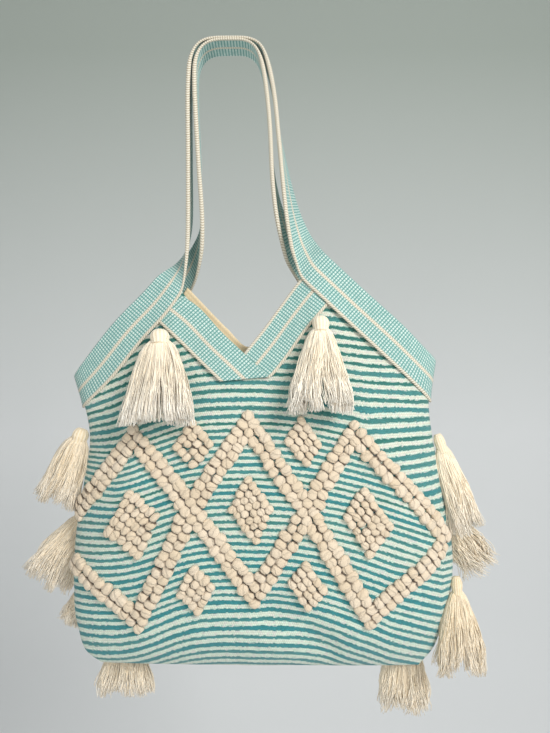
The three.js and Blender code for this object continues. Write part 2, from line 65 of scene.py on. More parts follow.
# Soft step from 0 at low to 1 at high
def smoothStep(value, low, high):
    t = np.clip((value - low) / (high - low), 0, 1)
    return t * t * (3 - 2 * t)


# Ways of length 1
def unit(ways):
    return ways / np.linalg.norm(ways, axis=-1, keepdims=True)


# Length along a row of points, from its first
def lengthAlong(points):
    return np.concatenate([[0], np.cumsum(np.linalg.norm(np.diff(points, axis=0), axis=1))])


# Quads of a grid of points, wrapped round in its columns where closed
def gridQuads(rows, columns, closed=False):
    index = np.arange(rows * columns).reshape(rows, columns)
    if closed:
        index = np.concatenate([index, index[:, :1]], axis=1)
    corners = [index[:-1, :-1], index[:-1, 1:], index[1:, 1:], index[1:, :-1]]
    return np.stack(corners, axis=-1).reshape(-1, 4)


# Faces of many tubes of the same rings and sides, with both ends capped
def tubeFaces(count, rings, sides):
    start = (np.arange(count) * rings * sides)[:, None]
    quads = (gridQuads(rings, sides, closed=True)[None] + start[:, :, None]).reshape(-1, 4)
    first = start + np.arange(sides)[None, ::-1]
    last = start + (rings - 1) * sides + np.arange(sides)[None, :]
    return [quads, first, last]


# Mesh object from points in millimetres and arrays of faces, each array with its own number of corners
def makePiece(name, points, faceArrays, material, uv=None, attributes=None):
    mesh = bpy.data.meshes.new(name)
    corners = np.concatenate([faces.ravel() for faces in faceArrays]).astype(np.int32)
    sizes = np.concatenate([np.full(len(faces), faces.shape[1]) for faces in faceArrays])
    mesh.vertices.add(len(points))
    mesh.vertices.foreach_set("co", (points * mm).astype(np.float32).ravel())
    mesh.loops.add(len(corners))
    mesh.loops.foreach_set("vertex_index", corners)
    mesh.polygons.add(len(sizes))
    mesh.polygons.foreach_set("loop_start", np.concatenate([[0], np.cumsum(sizes)[:-1]]).astype(np.int32))
    mesh.update(calc_edges=True)
    mesh.polygons.foreach_set("use_smooth", np.ones(len(sizes), bool))
    if uv is not None:
        layer = mesh.uv_layers.new(name="UVMap")
        layer.data.foreach_set("uv", uv[corners].astype(np.float32).ravel())
    for key, values in (attributes or {}).items():
        mesh.attributes.new(key, "FLOAT", "POINT").data.foreach_set("value", values.astype(np.float32))
    mesh.validate()
    mesh.materials.append(material)
    piece = bpy.data.objects.new(name, mesh)
    bpy.context.scene.collection.objects.link(piece)
    return piece


# The piece moves with the bag and stands for its solids
def place(piece, slot, *nodes):
    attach(piece, "root")
    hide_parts(*nodes)
    return piece


# Materials

# Linear colour of an sRGB hex code
def hexColour(code):
    values = [int(code[i:i + 2], 16) / 255 for i in (1, 3, 5)]
    return [v / 12.92 if v <= 0.04045 else ((v + 0.055) / 1.055) ** 2.4 for v in values] + [1.0]


# Adds a shader node: an input takes a number, a hex colour or another node's output, and settings are its own
def addNode(tree, kind, inputs=None, **settings):
    node = tree.nodes.new("ShaderNode" + kind)
    for key, value in settings.items():
        setattr(node, key, value)
    for socket, value in (inputs or {}).items():
        if isinstance(value, bpy.types.NodeSocket):
            tree.links.new(value, node.inputs[socket])
        else:
            node.inputs[socket].default_value = hexColour(value) if isinstance(value, str) else value
    return node.outputs


# Empty cotton material: a matt shader with a light sheen of loose fibres
def cottonMaterial(name, sheen):
    material = bpy.data.materials.new(name)
    material.use_nodes = True
    tree = material.node_tree
    shader = tree.nodes["Principled BSDF"]
    shader.inputs["Roughness"].default_value = 0.92
    shader.inputs["Specular IOR Level"].default_value = 0.2
    shader.inputs["Sheen Weight"].default_value = sheen
    shader.inputs["Sheen Roughness"].default_value = 0.55
    return material, tree, shader


# Ends a cotton material: its colour, and a relief of a given strength and depth in millimetres
def finishCotton(tree, shader, colour, relief, strength, depth):
    bump = addNode(tree, "Bump", {"Strength": strength, "Distance": depth * mm, "Height": relief})[0]
    tree.links.new(colour, shader.inputs["Base Color"])
    tree.links.new(bump, shader.inputs["Normal"])


stripeLook = {
    "teal": "#457f7c",        # most stripes
    "blueTeal": "#307b7f",    # stripes that drift to blue, more of them low on the bag
    "greenTeal": "#336f66",   # stripes that drift to green
    "cream": "#d0d0bf",       # ground
    "mint": "#b6cfc0",        # ground where colour has bled
    "grey": "#b5b0ad",        # grains here and there
    "border": 0.75,           # brightness at a stripe's edges
    "halfStripe": 0.235,      # half a stripe's width as a share of the pitch
    "grain": 2.3,             # mm along one weft grain
    "rowsPerStripe": 4.0,     # weft rows in one stripe pitch
    "relief": (0.7, 0.9),     # strength of the grain's relief, and its depth in mm
}


# Hand-woven striped cotton: weft stripes with stepped edges, each its own teal, on a mottled cream ground,
# with a raised grain of short weft floats laid like bricks and painted shade in the pits between them
def makeStripedCotton(look):
    material, tree, shader = cottonMaterial("striped handwoven cotton", 0.25)
    coords = addNode(tree, "TexCoord")["UV"]
    parts = addNode(tree, "SeparateXYZ", {0: coords})
    across, stripe = parts[0], parts[1]
    rows = addNode(tree, "Math", {0: stripe, 1: look["rowsPerStripe"]}, operation="MULTIPLY")[0]
    rowNumber = addNode(tree, "Math", {0: rows}, operation="FLOOR")[0]
    shift = addNode(tree, "Math", {0: rowNumber, 1: 0.5}, operation="MULTIPLY")[0]
    grains = addNode(tree, "Math", {0: across, 1: 1 / look["grain"], 2: shift}, operation="MULTIPLY_ADD")[0]
    grainNumber = addNode(tree, "Math", {0: grains}, operation="FLOOR")[0]
    grainCell = addNode(tree, "CombineXYZ", {0: grainNumber, 1: rowNumber})[0]
    grainTone = addNode(tree, "TexWhiteNoise", {"Vector": grainCell}, noise_dimensions="2D")[0]
    # slow drift of the stripe plus a step at each grain
    slowPlace = addNode(tree, "VectorMath", {0: coords, 1: (0.03, 0.9, 1.0)}, operation="MULTIPLY")[0]
    slow = addNode(tree, "TexNoise", {"Vector": slowPlace, "Scale": 1.0, "Detail": 3.0, "Roughness": 0.55})[0]
    slowDrift = addNode(tree, "Math", {0: slow, 1: 0.3, 2: -0.15}, operation="MULTIPLY_ADD")[0]
    grainDrift = addNode(tree, "Math", {0: grainTone, 1: 0.14, 2: -0.07}, operation="MULTIPLY_ADD")[0]
    drift = addNode(tree, "Math", {0: slowDrift, 1: grainDrift}, operation="ADD")[0]
    drifted = addNode(tree, "Math", {0: stripe, 1: drift}, operation="ADD")[0]
    centred = addNode(tree, "Math", {0: drifted, 1: 0.5}, operation="ADD")[0]
    number = addNode(tree, "Math", {0: centred}, operation="FLOOR")[0]
    offset = addNode(tree, "Math", {0: drifted, 1: number}, operation="SUBTRACT")[0]
    away = addNode(tree, "Math", {0: offset}, operation="ABSOLUTE")[0]
    ownTone = addNode(tree, "TexWhiteNoise", {"W": number}, noise_dimensions="1D")[0]
    ownHalf = addNode(tree, "Math", {0: ownTone, 1: 0.08, 2: look["halfStripe"] - 0.04},
                      operation="MULTIPLY_ADD")[0]
    edge = addNode(tree, "Math", {0: away, 1: ownHalf}, operation="SUBTRACT")[0]
    ground = addNode(tree, "MapRange", {0: edge, 1: -0.05, 2: 0.05}, interpolation_type="SMOOTHSTEP")[0]
    # colour of the stripes: each its own teal, with streaks along the yarn
    streakPlace = addNode(tree, "VectorMath", {0: coords, 1: (0.05, 6.0, 1.0)}, operation="MULTIPLY")[0]
    streak = addNode(tree, "TexNoise", {"Vector": streakPlace, "Scale": 1.0, "Detail": 3.0})[0]
    lower = addNode(tree, "MapRange", {0: number, 1: 24.0, 2: -16.0, 3: -0.25, 4: 0.35})[0]
    tint = addNode(tree, "Math", {0: ownTone, 1: 0.5, 2: lower}, operation="MULTIPLY_ADD")[0]
    hue = addNode(tree, "Math", {0: streak, 1: 0.5, 2: tint}, operation="MULTIPLY_ADD")[0]
    ramp = tree.nodes.new("ShaderNodeValToRGB")
    ramp.color_ramp.elements[0].position = 0.25
    ramp.color_ramp.elements[0].color = hexColour(look["greenTeal"])
    ramp.color_ramp.elements[1].position = 0.8
    ramp.color_ramp.elements[1].color = hexColour(look["blueTeal"])
    ramp.color_ramp.elements.new(0.5).color = hexColour(look["teal"])
    tree.links.new(hue, ramp.inputs[0])
    border = addNode(tree, "MapRange", {0: edge, 1: -0.12, 2: -0.03, 3: 1.0, 4: look["border"]})[0]
    stripeColour = addNode(tree, "VectorMath", {0: ramp.outputs[0], "Scale": border}, operation="SCALE")[0]
    # ground: mint where the stripe's dye has bled, cream away from it, with grey grains here and there
    bled = addNode(tree, "MapRange", {0: edge, 1: 0.02, 2: 0.17, 3: 1.0, 4: 0.0},
                   interpolation_type="SMOOTHSTEP")[0]
    bledLow = addNode(tree, "Math", {0: lower, 1: 0.6, 2: bled}, operation="MULTIPLY_ADD")[0]
    mottle = addNode(tree, "Math", {0: streak, 1: 0.9, 2: bledLow}, operation="MULTIPLY_ADD")[0]
    mintShare = addNode(tree, "MapRange", {0: mottle, 1: 0.35, 2: 1.15})[0]
    clear = addNode(tree, "Mix", {0: mintShare, 6: look["cream"], 7: look["mint"]}, data_type="RGBA")[2]
    greyShare = addNode(tree, "MapRange", {0: grainTone, 1: 0.62, 2: 1.0, 3: 0.0, 4: 0.75})[0]
    groundColour = addNode(tree, "Mix", {0: greyShare, 6: clear, 7: look["grey"]}, data_type="RGBA")[2]
    striped = addNode(tree, "Mix", {0: ground, 6: stripeColour, 7: groundColour}, data_type="RGBA")[2]
    # grain: each float is a low hump, with painted shade in the pits between, and each grain its own random
    # tone
    grainPart = addNode(tree, "Math", {0: grains, 1: 0.5}, operation="PINGPONG")[0]
    rowWave = addNode(tree, "Math", {0: rows, 1: 0.5}, operation="PINGPONG")[0]
    hump = addNode(tree, "Math", {0: rowWave, 1: grainPart}, operation="MULTIPLY")[0]
    humpHeight = addNode(tree, "Math", {0: hump, 1: 0.5}, operation="POWER")[0]
    pitShade = addNode(tree, "MapRange", {0: humpHeight, 1: 0.0, 2: 0.4, 3: 0.74, 4: 1.0})[0]
    shade = addNode(tree, "Math", {0: grainTone, 1: 0.22, 2: pitShade}, operation="MULTIPLY_ADD")[0]
    shaded = addNode(tree, "VectorMath", {0: striped, "Scale": shade}, operation="SCALE")[0]
    finishCotton(tree, shader, shaded, humpHeight, *look["relief"])
    return material


webbingLook = {
    "teal": "#7ca7a0",
    # painted shade: darker teal in the gaps between the rows of dots
    "rowShadeTeal": "#60938d",    # between the rows
    "dot": "#cfded6",
    "cream": "#d9d2c1",
    "creamShade": "#a8987a",
    "width": 38.0,
    "middle": 1.7,            # half the cream middle line
    "selvedge": 3.2,          # cream edge
    "columns": 5,             # dots in each half
    "rowPitch": 3.4,          # mm from row to row along the webbing
    "cordPitch": 2.6,         # mm from turn to turn of the edge cord
    "relief": (0.6, 0.6),
}


# Patterned cotton webbing: light dots in rows and columns on teal, painted shade between the rows, a cream
# middle line and a corded edge.
# Places before the webbing's first edge are cream too, for webbing that shows both edges
def makeWebbing(look):
    material, tree, shader = cottonMaterial("patterned cotton webbing", 0.2)
    coords = addNode(tree, "TexCoord")["UV"]
    parts = addNode(tree, "SeparateXYZ", {0: coords})
    fromMiddle = addNode(tree, "Math", {0: parts[0], 1: look["width"] / 2}, operation="SUBTRACT")[0]
    away = addNode(tree, "Math", {0: fromMiddle}, operation="ABSOLUTE")[0]
    field = look["width"] / 2 - look["middle"] - look["selvedge"]
    pitch = field / look["columns"]
    inField = addNode(tree, "Math", {0: away, 1: look["middle"]}, operation="SUBTRACT")[0]
    columns = addNode(tree, "Math", {0: inField, 1: pitch}, operation="DIVIDE")[0]
    columnWave = addNode(tree, "Math", {0: columns, 1: 0.5}, operation="PINGPONG")[0]
    rows = addNode(tree, "Math", {0: parts[1], 1: look["rowPitch"]}, operation="DIVIDE")[0]
    rowWave = addNode(tree, "Math", {0: rows, 1: 0.5}, operation="PINGPONG")[0]
    columnPart = addNode(tree, "MapRange", {0: columnWave, 1: 0.06, 2: 0.3},
                         interpolation_type="SMOOTHSTEP")[0]
    rowPart = addNode(tree, "MapRange", {0: rowWave, 1: 0.1, 2: 0.3}, interpolation_type="SMOOTHSTEP")[0]
    dot = addNode(tree, "Math", {0: columnPart, 1: rowPart}, operation="MULTIPLY")[0]
    # each dot is a little different, as woven by hand
    columnNumber = addNode(tree, "Math", {0: parts[0], 1: pitch}, operation="DIVIDE")[0]
    cell = addNode(tree, "CombineXYZ", {0: columnNumber, 1: rows})[0]
    cellFloor = addNode(tree, "VectorMath", {0: cell}, operation="FLOOR")[0]
    cellTone = addNode(tree, "TexWhiteNoise", {"Vector": cellFloor}, noise_dimensions="2D")[0]
    strength = addNode(tree, "MapRange", {0: cellTone, 3: 0.6, 4: 1.0})[0]
    dotShare = addNode(tree, "Math", {0: dot, 1: strength}, operation="MULTIPLY")[0]
    base = addNode(tree, "Mix", {0: rowPart, 6: look["rowShadeTeal"], 7: look["teal"]}, data_type="RGBA")[2]
    dotted = addNode(tree, "Mix", {0: dotShare, 6: base, 7: look["dot"]}, data_type="RGBA")[2]
    # cream middle line and cord edges, with painted shade between the slanting turns of the cord
    slant = addNode(tree, "Math", {0: away, 1: 0.75, 2: parts[1]}, operation="MULTIPLY_ADD")[0]
    turns = addNode(tree, "Math", {0: slant, 1: look["cordPitch"]}, operation="DIVIDE")[0]
    turnWave = addNode(tree, "Math", {0: turns, 1: 0.5}, operation="PINGPONG")[0]
    turn = addNode(tree, "MapRange", {0: turnWave, 1: 0.02, 2: 0.26}, interpolation_type="SMOOTHSTEP")[0]
    cord = addNode(tree, "Mix", {0: turn, 6: look["creamShade"], 7: look["cream"]}, data_type="RGBA")[2]
    lineShare = addNode(tree, "MapRange", {0: away, 1: look["middle"] - 0.25, 2: look["middle"] + 0.25,
                                                     3: 1.0, 4: 0.0})[0]
    edgeStart = look["width"] / 2 - look["selvedge"]
    edgeShare = addNode(tree, "MapRange", {0: fromMiddle, 1: edgeStart - 0.25, 2: edgeStart + 0.25})[0]
    firstShare = addNode(tree, "MapRange", {0: parts[0], 1: -0.25, 2: 0.25, 3: 1.0, 4: 0.0})[0]
    edges = addNode(tree, "Math", {0: firstShare, 1: edgeShare}, operation="MAXIMUM")[0]
    creamShare = addNode(tree, "Math", {0: lineShare, 1: edges}, operation="MAXIMUM")[0]
    colour = addNode(tree, "Mix", {0: creamShare, 6: dotted, 7: cord}, data_type="RGBA")[2]
    height = addNode(tree, "Mix", {0: creamShare, 2: dot, 3: turn}, data_type="FLOAT")[0]
    finishCotton(tree, shader, colour, height, *look["relief"])
    return material


tapeLook = {
    "tan": "#efdab5",
    # shade: painted shade between the threads, and the darker side of the dye's slow unevenness
    "shade": "#e0c597",
    "thread": 1.6,            # half the step from thread to thread, mm
    "relief": (0.4, 0.4),
}


# Plain tan tape: an even weave of fine threads, with painted shade between them and slow unevenness in its
# dye
def makeTanTape(look):
    material, tree, shader = cottonMaterial("plain tan cotton tape", 0.15)
    coords = addNode(tree, "TexCoord")["UV"]
    parts = addNode(tree, "SeparateXYZ", {0: coords})
    warp = addNode(tree, "Math", {0: parts[0], 1: look["thread"]}, operation="PINGPONG")[0]
    weft = addNode(tree, "Math", {0: parts[1], 1: look["thread"]}, operation="PINGPONG")[0]
    weave = addNode(tree, "Math", {0: warp, 1: weft}, operation="MULTIPLY")[0]
    cloud = addNode(tree, "TexNoise", {"Vector": coords, "Scale": 0.15, "Detail": 2.0})[0]
    share = addNode(tree, "Math", {0: weave, 1: 0.3, 2: cloud}, operation="MULTIPLY_ADD")[0]
    colour = addNode(tree, "Mix", {0: share, 6: look["shade"], 7: look["tan"]}, data_type="RGBA")[2]
    finishCotton(tree, shader, colour, weave, *look["relief"])
    return material


tuftLook = {
    "beige": "#ead8bf",
    "warm": "#e1cdb0",
    # painted shade: colour of the creases between knots
    "creaseShade": "#412f1e",
    "ply": 4.2,               # half a ply's width, mm
    "relief": (0.8, 0.9),
}


# Looped tuft yarn: beige knots, each its own tone, with painted shade in the creases and in the grooves of
# the soft plies, and a fuzz of fibres
def makeTuftYarn(look):
    material, tree, shader = cottonMaterial("looped beige tuft yarn", 0.3)
    coords = addNode(tree, "TexCoord")["UV"]
    tone = addNode(tree, "Attribute", attribute_name="tone")["Fac"]
    creaseShade = addNode(tree, "Attribute", attribute_name="creaseShade")["Fac"]
    parts = addNode(tree, "SeparateXYZ", {0: coords})
    wander = addNode(tree, "TexNoise", {"Vector": coords, "Scale": 0.2, "Detail": 1.0})[0]
    plies = addNode(tree, "Math", {0: wander, 1: 5.0, 2: parts[1]}, operation="MULTIPLY_ADD")[0]
    ply = addNode(tree, "Math", {0: plies, 1: look["ply"]}, operation="PINGPONG")[0]
    plyHeight = addNode(tree, "MapRange", {0: ply, 1: 0.0, 2: look["ply"] * 0.4},
                        interpolation_type="SMOOTHSTEP")[0]
    fuzz = addNode(tree, "TexNoise", {"Vector": coords, "Scale": 1.1, "Detail": 3.0, "Roughness": 0.7})[0]
    body = addNode(tree, "Mix", {0: tone, 6: look["warm"], 7: look["beige"]}, data_type="RGBA")[2]
    fuzzShade = addNode(tree, "MapRange", {0: fuzz, 1: 0.3, 2: 0.7, 3: 0.8, 4: 1.08})[0]
    # painted shade: each ply darker in the groove at its edges
    plyShade = addNode(tree, "MapRange", {0: plyHeight, 3: 0.86, 4: 1.0})[0]
    shade = addNode(tree, "Math", {0: fuzzShade, 1: plyShade}, operation="MULTIPLY")[0]
    plied = addNode(tree, "VectorMath", {0: body, "Scale": shade}, operation="SCALE")[0]
    # painted shade: the creases between knots darken towards the crease colour
    creaseShadeShare = addNode(tree, "MapRange", {0: creaseShade, 1: 0.3, 2: 0.95, 3: 0.0, 4: 0.95})[0]
    colour = addNode(tree, "Mix", {0: creaseShadeShare, 6: plied, 7: look["creaseShade"]}, data_type="RGBA")[2]
    relief = addNode(tree, "Math", {0: fuzz, 1: 1.2, 2: plyHeight}, operation="MULTIPLY_ADD")[0]
    finishCotton(tree, shader, colour, relief, *look["relief"])
    return material


tasselLook = {
    "warm": "#faefdb",
    "white": "#fffaf0",
    # shade: strands of a darker random tone, and painted shade on the cores and in the heads' grooves
    "shade": "#d6bc90",
    "relief": (0.25, 0.4),
}


# Loose tassel yarn: warm cream at the head, whiter at the frayed ends, single strands in tan, and painted
# shade in tan on the core and in the heads' crevices
def makeTasselYarn(look):
    material, tree, shader = cottonMaterial("loose cream tassel yarn", 0.3)
    down = addNode(tree, "Attribute", attribute_name="down")["Fac"]
    tone = addNode(tree, "Attribute", attribute_name="tone")["Fac"]
    whiten = addNode(tree, "MapRange", {0: down, 1: 0.35, 2: 1.0}, interpolation_type="SMOOTHSTEP")[0]
    yarn = addNode(tree, "Mix", {0: whiten, 6: look["warm"], 7: look["white"]}, data_type="RGBA")[2]
    place3d = addNode(tree, "TexCoord")["Object"]
    fibre = addNode(tree, "TexNoise", {"Vector": place3d, "Scale": 900.0, "Detail": 2.0})[0]
    shadeShare = addNode(tree, "Math", {0: tone, 1: fibre}, operation="MULTIPLY")[0]
    colour = addNode(tree, "Mix", {0: shadeShare, 6: yarn, 7: look["shade"]}, data_type="RGBA")[2]
    finishCotton(tree, shader, colour, fibre, *look["relief"])
    return material


stripedCotton = makeStripedCotton(stripeLook)
webbing = makeWebbing(webbingLook)
tanTape = makeTanTape(tapeLook)
tuftYarn = makeTuftYarn(tuftLook)
tasselYarn = makeTasselYarn(tasselLook)
print("materials made")


# Walls of the bag

wall = {
    "thickness": 1.8,
    "sideHeight": 325.0,      # length of a side seam
    "halfWidth": 205.0,
    "bottomTurn": 0.14,       # share of the side over which the wall turns under
    "leftRound": 2.6,         # higher keeps the wall flat for longer before the seam
    "rightRound": 3.4,
    "seamRound": 0.6,
    "backShare": 0.9,         # fullness of the back against the front
    "slack": 0.8,             # height of the soft waves in the cloth
    "pucker": 1.3,            # height of the small gathers at the seams
    "acrossSteps": 190,
    "upSteps": 140,
}
sideTable = np.array([  # up, left x, left z, right x, right z
    [0.00, -146, -694, 212, -697],
    [0.04, -161, -683, 226, -681],
    [0.12, -172, -655, 238, -652],
    [0.28, -177, -600, 250, -598],
    [0.42, -175, -552, 249, -552],
    [0.60, -166, -492, 239, -495],
    [0.76, -159, -440, 227, -434],
    [0.90, -166, -400, 224, -392],
    [1.00, -174, -372, 229, -356],
])
bulgeTable = np.array([  # z, how far the front stands out
    [-697, 30], [-653, 40], [-600, 46], [-552, 47], [-495, 44], [-437, 38], [-348, 27], [-262, 18],
])
neckTable = np.array([  # across, rise of the neck edge above the line between the seam tops
    [-1.00, 0], [-0.41, 93], [-0.18, 36], [-0.04, 15], [0.05, 35], [0.29, 101], [1.00, 0],
])
foldTable = np.array([  # from across, from up, to across, to up, width, height
    [-0.42, 1.00, -0.78, 0.42, 24, 5],
    [0.30, 1.00, 0.80, 0.40, 26, 5],
    [-0.90, 0.80, -0.62, 0.62, 22, -5],
    [0.06, 0.19, 0.38, 0.06, 15, -7],
    [-0.03, 0.98, -0.02, 0.72, 30, -4],
])
leftX, leftZ, rightX, rightZ = (smoothColumn(sideTable[:, 0], sideTable[:, i]) for i in range(1, 5))
bulge = smoothColumn(bulgeTable[:, 0], bulgeTable[:, 1])


# Height of a place: the line between the seams at its share up them, plus that share of the neck's rise
def heightAt(across, up):
    side = leftZ(up) + (rightZ(up) - leftZ(up)) * (across + 1) / 2
    neckRise = np.interp(across, neckTable[:, 0], neckTable[:, 1])
    return side + np.maximum(up - 1, 0) * wall["sideHeight"] + neckRise * up


# Folds: each falls off from its line as a bell curve of the distance
def foldAt(across, up):
    x, z = across * wall["halfWidth"], up * wall["sideHeight"]
    height = np.zeros(np.broadcast(across, up).shape)
    for row in foldTable:
        startX, startZ = row[0] * wall["halfWidth"], row[1] * wall["sideHeight"]
        runX, runZ = row[2] * wall["halfWidth"] - startX, row[3] * wall["sideHeight"] - startZ
        share = np.clip(((x - startX) * runX + (z - startZ) * runZ) / (runX ** 2 + runZ ** 2), 0, 1)
        away = np.hypot(x - startX - share * runX, z - startZ - share * runZ) / row[4]
        height += row[5] * np.exp(-away ** 2)
    return height


# Slack of the cloth: slow crossing waves, plus gathers that die away from each seam
def slackAt(across, up):
    slow = np.sin(9.1 * across + 6.3 * up) * np.sin(11.0 * up - 3.7 * across)
    slow = slow + 0.6 * np.sin(17 * across - 13 * up + 1.2)
    gathers = np.sin(107 * up + 3 * across) * np.exp((np.abs(across) - 1) / 0.09)
    return wall["slack"] * slow + wall["pucker"] * gathers


# Wall: x between the seams, y out from the seam plane by the fullness, which falls to nothing at the seams
# and at the bottom
def onWall(across, up, facing, lift=0.0):
    x = leftX(up) - lift + (rightX(up) - leftX(up) + 2 * lift) * (across + 1) / 2
    under = np.maximum(1 - up / wall["bottomTurn"], 0)
    z = heightAt(across, up)
    if facing == frontSide:
        full = bulge(z) + foldAt(across, up) + slackAt(across, up)
    else:
        full = bulge(z) * wall["backShare"] + slackAt(-across, up + 0.4)
    power = np.where(across < 0, wall["leftRound"], wall["rightRound"])
    fullness = np.maximum(1 - np.minimum(np.abs(across), 1) ** power, 0) ** wall["seamRound"]
    depth = fullness * np.sqrt(np.maximum(1 - under ** 2, 0)) * (full + lift)
    return np.stack(np.broadcast_arrays(x, facing * (0.15 + depth), z - lift * under), axis=-1)


# Place on a wall seen at x and z from the front, by steps of Newton's method
def placeOf(x, z):
    up = np.full(np.broadcast(x, z).shape, 0.7)
    for step in range(14):
        across = np.clip(2 * (x - leftX(up)) / (rightX(up) - leftX(up)) - 1, -1, 1)
        slope = (heightAt(across, up + 0.01) - heightAt(across, up)) / 0.01
        up = np.clip(up + (z - heightAt(across, up)) / slope, 0, 1.4)
    return across, up


pattern = {
    "up": 95.0,               # height of the large diamonds' upper half
    "down": 100.0,
    "dip": 0.09,              # share by which the middle diamond is less tall
    "period": 13,             # steps along a diamond's side
    "middle": -509.0,         # height of the middle row at its crown
}
patternTable = np.array([  # column, x, z of the pattern's middle row, z of the stripe that starts on its left
    [-3.25, -201, -558, -547], [-3, -190, -556, -545], [-2, -104, -532, -532], [-1, -38, -512, -512],
    [0, 23.5, -509, -509], [1, 84, -513, -513], [2, 149, -526, -527], [3, 234, -548, -557],
    [3.25, 242, -550, -560], [3.6, 262, -556, -568],
])
patternX = smoothColumn(patternTable[:, 0], patternTable[:, 1])
patternZ = smoothColumn(patternTable[:, 0], patternTable[:, 2])
patternBow = smoothColumn(patternTable[:, 1], patternTable[:, 3])
leanTable = np.array([  # column, how far the top row and the bottom row lie to the right
    [-2, 1, 7], [0, -2, 5], [2, -15, 1.5],
])
stripeTable = np.array([  # height over the pattern's middle row, stripe number
    [-260, -29.5], [-100, -13], [0, 0], [95, 13], [320, 37.5],
])


# Stripe number at a place: height over the bowed middle row. The bow grows downwards, eases on the right
# above the pattern and at the lower right, stays level to the right of the pattern's upper line, and falls
# faster at the upper left but lifts again below it. At the lower right the stripes carry on down by the
# length by which the wall turns away
def stripeAt(x, z, turned):
    over = z - patternBow(x)
    lineX = patternX(3 - np.clip(over / pattern["up"], 0, 1))
    drop = patternBow(np.minimum(x, lineX)) - pattern["middle"]
    drop = drop - 0.25 * np.maximum(-95 - x, 0) * smoothStep(over, 20, 100)
    drop = drop + 0.36 * np.maximum(-122 - x, 0) * np.exp(-((over - 72) / 40) ** 2)
    drop = drop + 0.35 * np.maximum(patternBow(175) - patternBow(x), 0) * smoothStep(-over, 0, 50)
    low = np.clip(-over / 110, 0, 1.5) * (0.3 + 0.2 * smoothStep(x, 60, 150))
    bow = 1 + low - 0.5 * smoothStep(over, 80, 140) * smoothStep(x, 0, 90)
    height = z - pattern["middle"] - drop * bow
    height = height + 0.6 * turned * smoothStep(x, 120, 200) * smoothStep(-over, -20, 40)
    height = height + 0.06 * np.maximum(x - lineX, 0) * smoothStep(over, 0, 30)
    return np.interp(height, stripeTable[:, 0], stripeTable[:, 1])


# Panel: the wall on a grid that is finer at the seams and the bottom, thickened inwards
def makePanel(name, facing, node):
    even = np.linspace(-1, 1, wall["acrossSteps"] + 1)
    across = 0.35 * even + 0.65 * np.sin(even * math.pi / 2)
    up = np.linspace(0, 1, wall["upSteps"] + 1) ** 1.25
    points = onWall(across[None, :], up[:, None], facing)
    pace = np.linalg.norm(np.diff(points[..., :2], axis=1), axis=-1) - np.abs(np.diff(points[..., 0], axis=1))
    turned = np.concatenate([np.zeros((len(up), 1)), np.cumsum(pace, axis=1)], axis=1)
    turned = np.maximum(turned - turned[:, len(across) // 2][:, None], 0)
    uv = np.stack([np.broadcast_to(across * wall["halfWidth"], points.shape[:2]),
                   stripeAt(points[..., 0], points[..., 2], turned)], axis=-1)
    quads = gridQuads(len(up), len(across))
    if facing == backSide:
        quads = quads[:, ::-1]
    piece = makePiece(name, points.reshape(-1, 3), [quads], stripedCotton, uv.reshape(-1, 2))
    shell = piece.modifiers.new("thickness", "SOLIDIFY")
    shell.thickness = wall["thickness"] * mm
    shell.offset = -1
    return place(piece, "striped_cloth", node)


frontPanel = makePanel("frontPanel", frontSide, "front_panel")
backPanel = makePanel("backPanel", backSide, "back_panel")
print("panels made")


# Webbing straps

strap = {
    "half": 0.8,              # half the webbing's thickness
    "cord": 1.3,              # half the thickness of its corded edge on the wall and at the handle's top
    "handleCord": 2.4,        # and down the handle, where the edge rolls in
    "ridge": 0.3,             # rise of the middle line
    "width": 38.0,
    "gap": 1.1,               # over the wall
    "overNeck": 3.8,          # over the neck band
    "step": 2.2,              # mm between sections
    "ease": 4,                # sections over which a join is eased
    "bandSections": 80,       # of the first drawing, before the even steps
    "handleSections": 300,
    "acrossSteps": 24,
}
leftBandTable = np.array([  # outer x, outer z, inner x, inner z, from the seam to the peak
    [-174.5, -369, -164.5, -407],
    [-149, -340, -124, -371],
    [-117, -304, -89, -329],
    [-92, -279, -65, -303],
    [-75, -259, -48, -279],
])
rightBandTable = np.array([
    [229.5, -352, 224.5, -401],
    [213, -338, 193, -372],
    [190, -317, 164, -347],
    [160, -290, 134, -319],
    [132, -264, 106, -293],
    [102, -236, 76, -264],
])
frontHandleTable = np.array([  # outer x, y, z, inner x, y, z, from the left peak over to the right peak
    [-62, 4, -244, -47, -27, -256],
    [-53, 14, -229, -46, -22, -231],
    [-47, 19, -203, -46, -19, -205],
    [-46, 19, -125, -46, -19, -125],
    [-46, 19, -45, -46, -19, -45],
    [-43, 19, -17, -43, -19, -17],
    [-34, 19, -2, -34, -19, -2],
    [-20, 19, 2.6, -20, -19, 2.6],
    [0, 19, 3, 0, -19, 3],
    [20, 19, 2.6, 20, -19, 2.6],
    [33, 19, -3, 33, -19, -3],
    [41, 19, -20, 41, -19, -20],
    [50, 19, -58, 49, -19, -58],
    [57, 19, -96, 53, -19, -98],
    [69, 17, -150, 58, -19, -156],
    [80, 12, -187, 62, -20, -198],
    [91, 1, -213, 67, -22, -232],
])
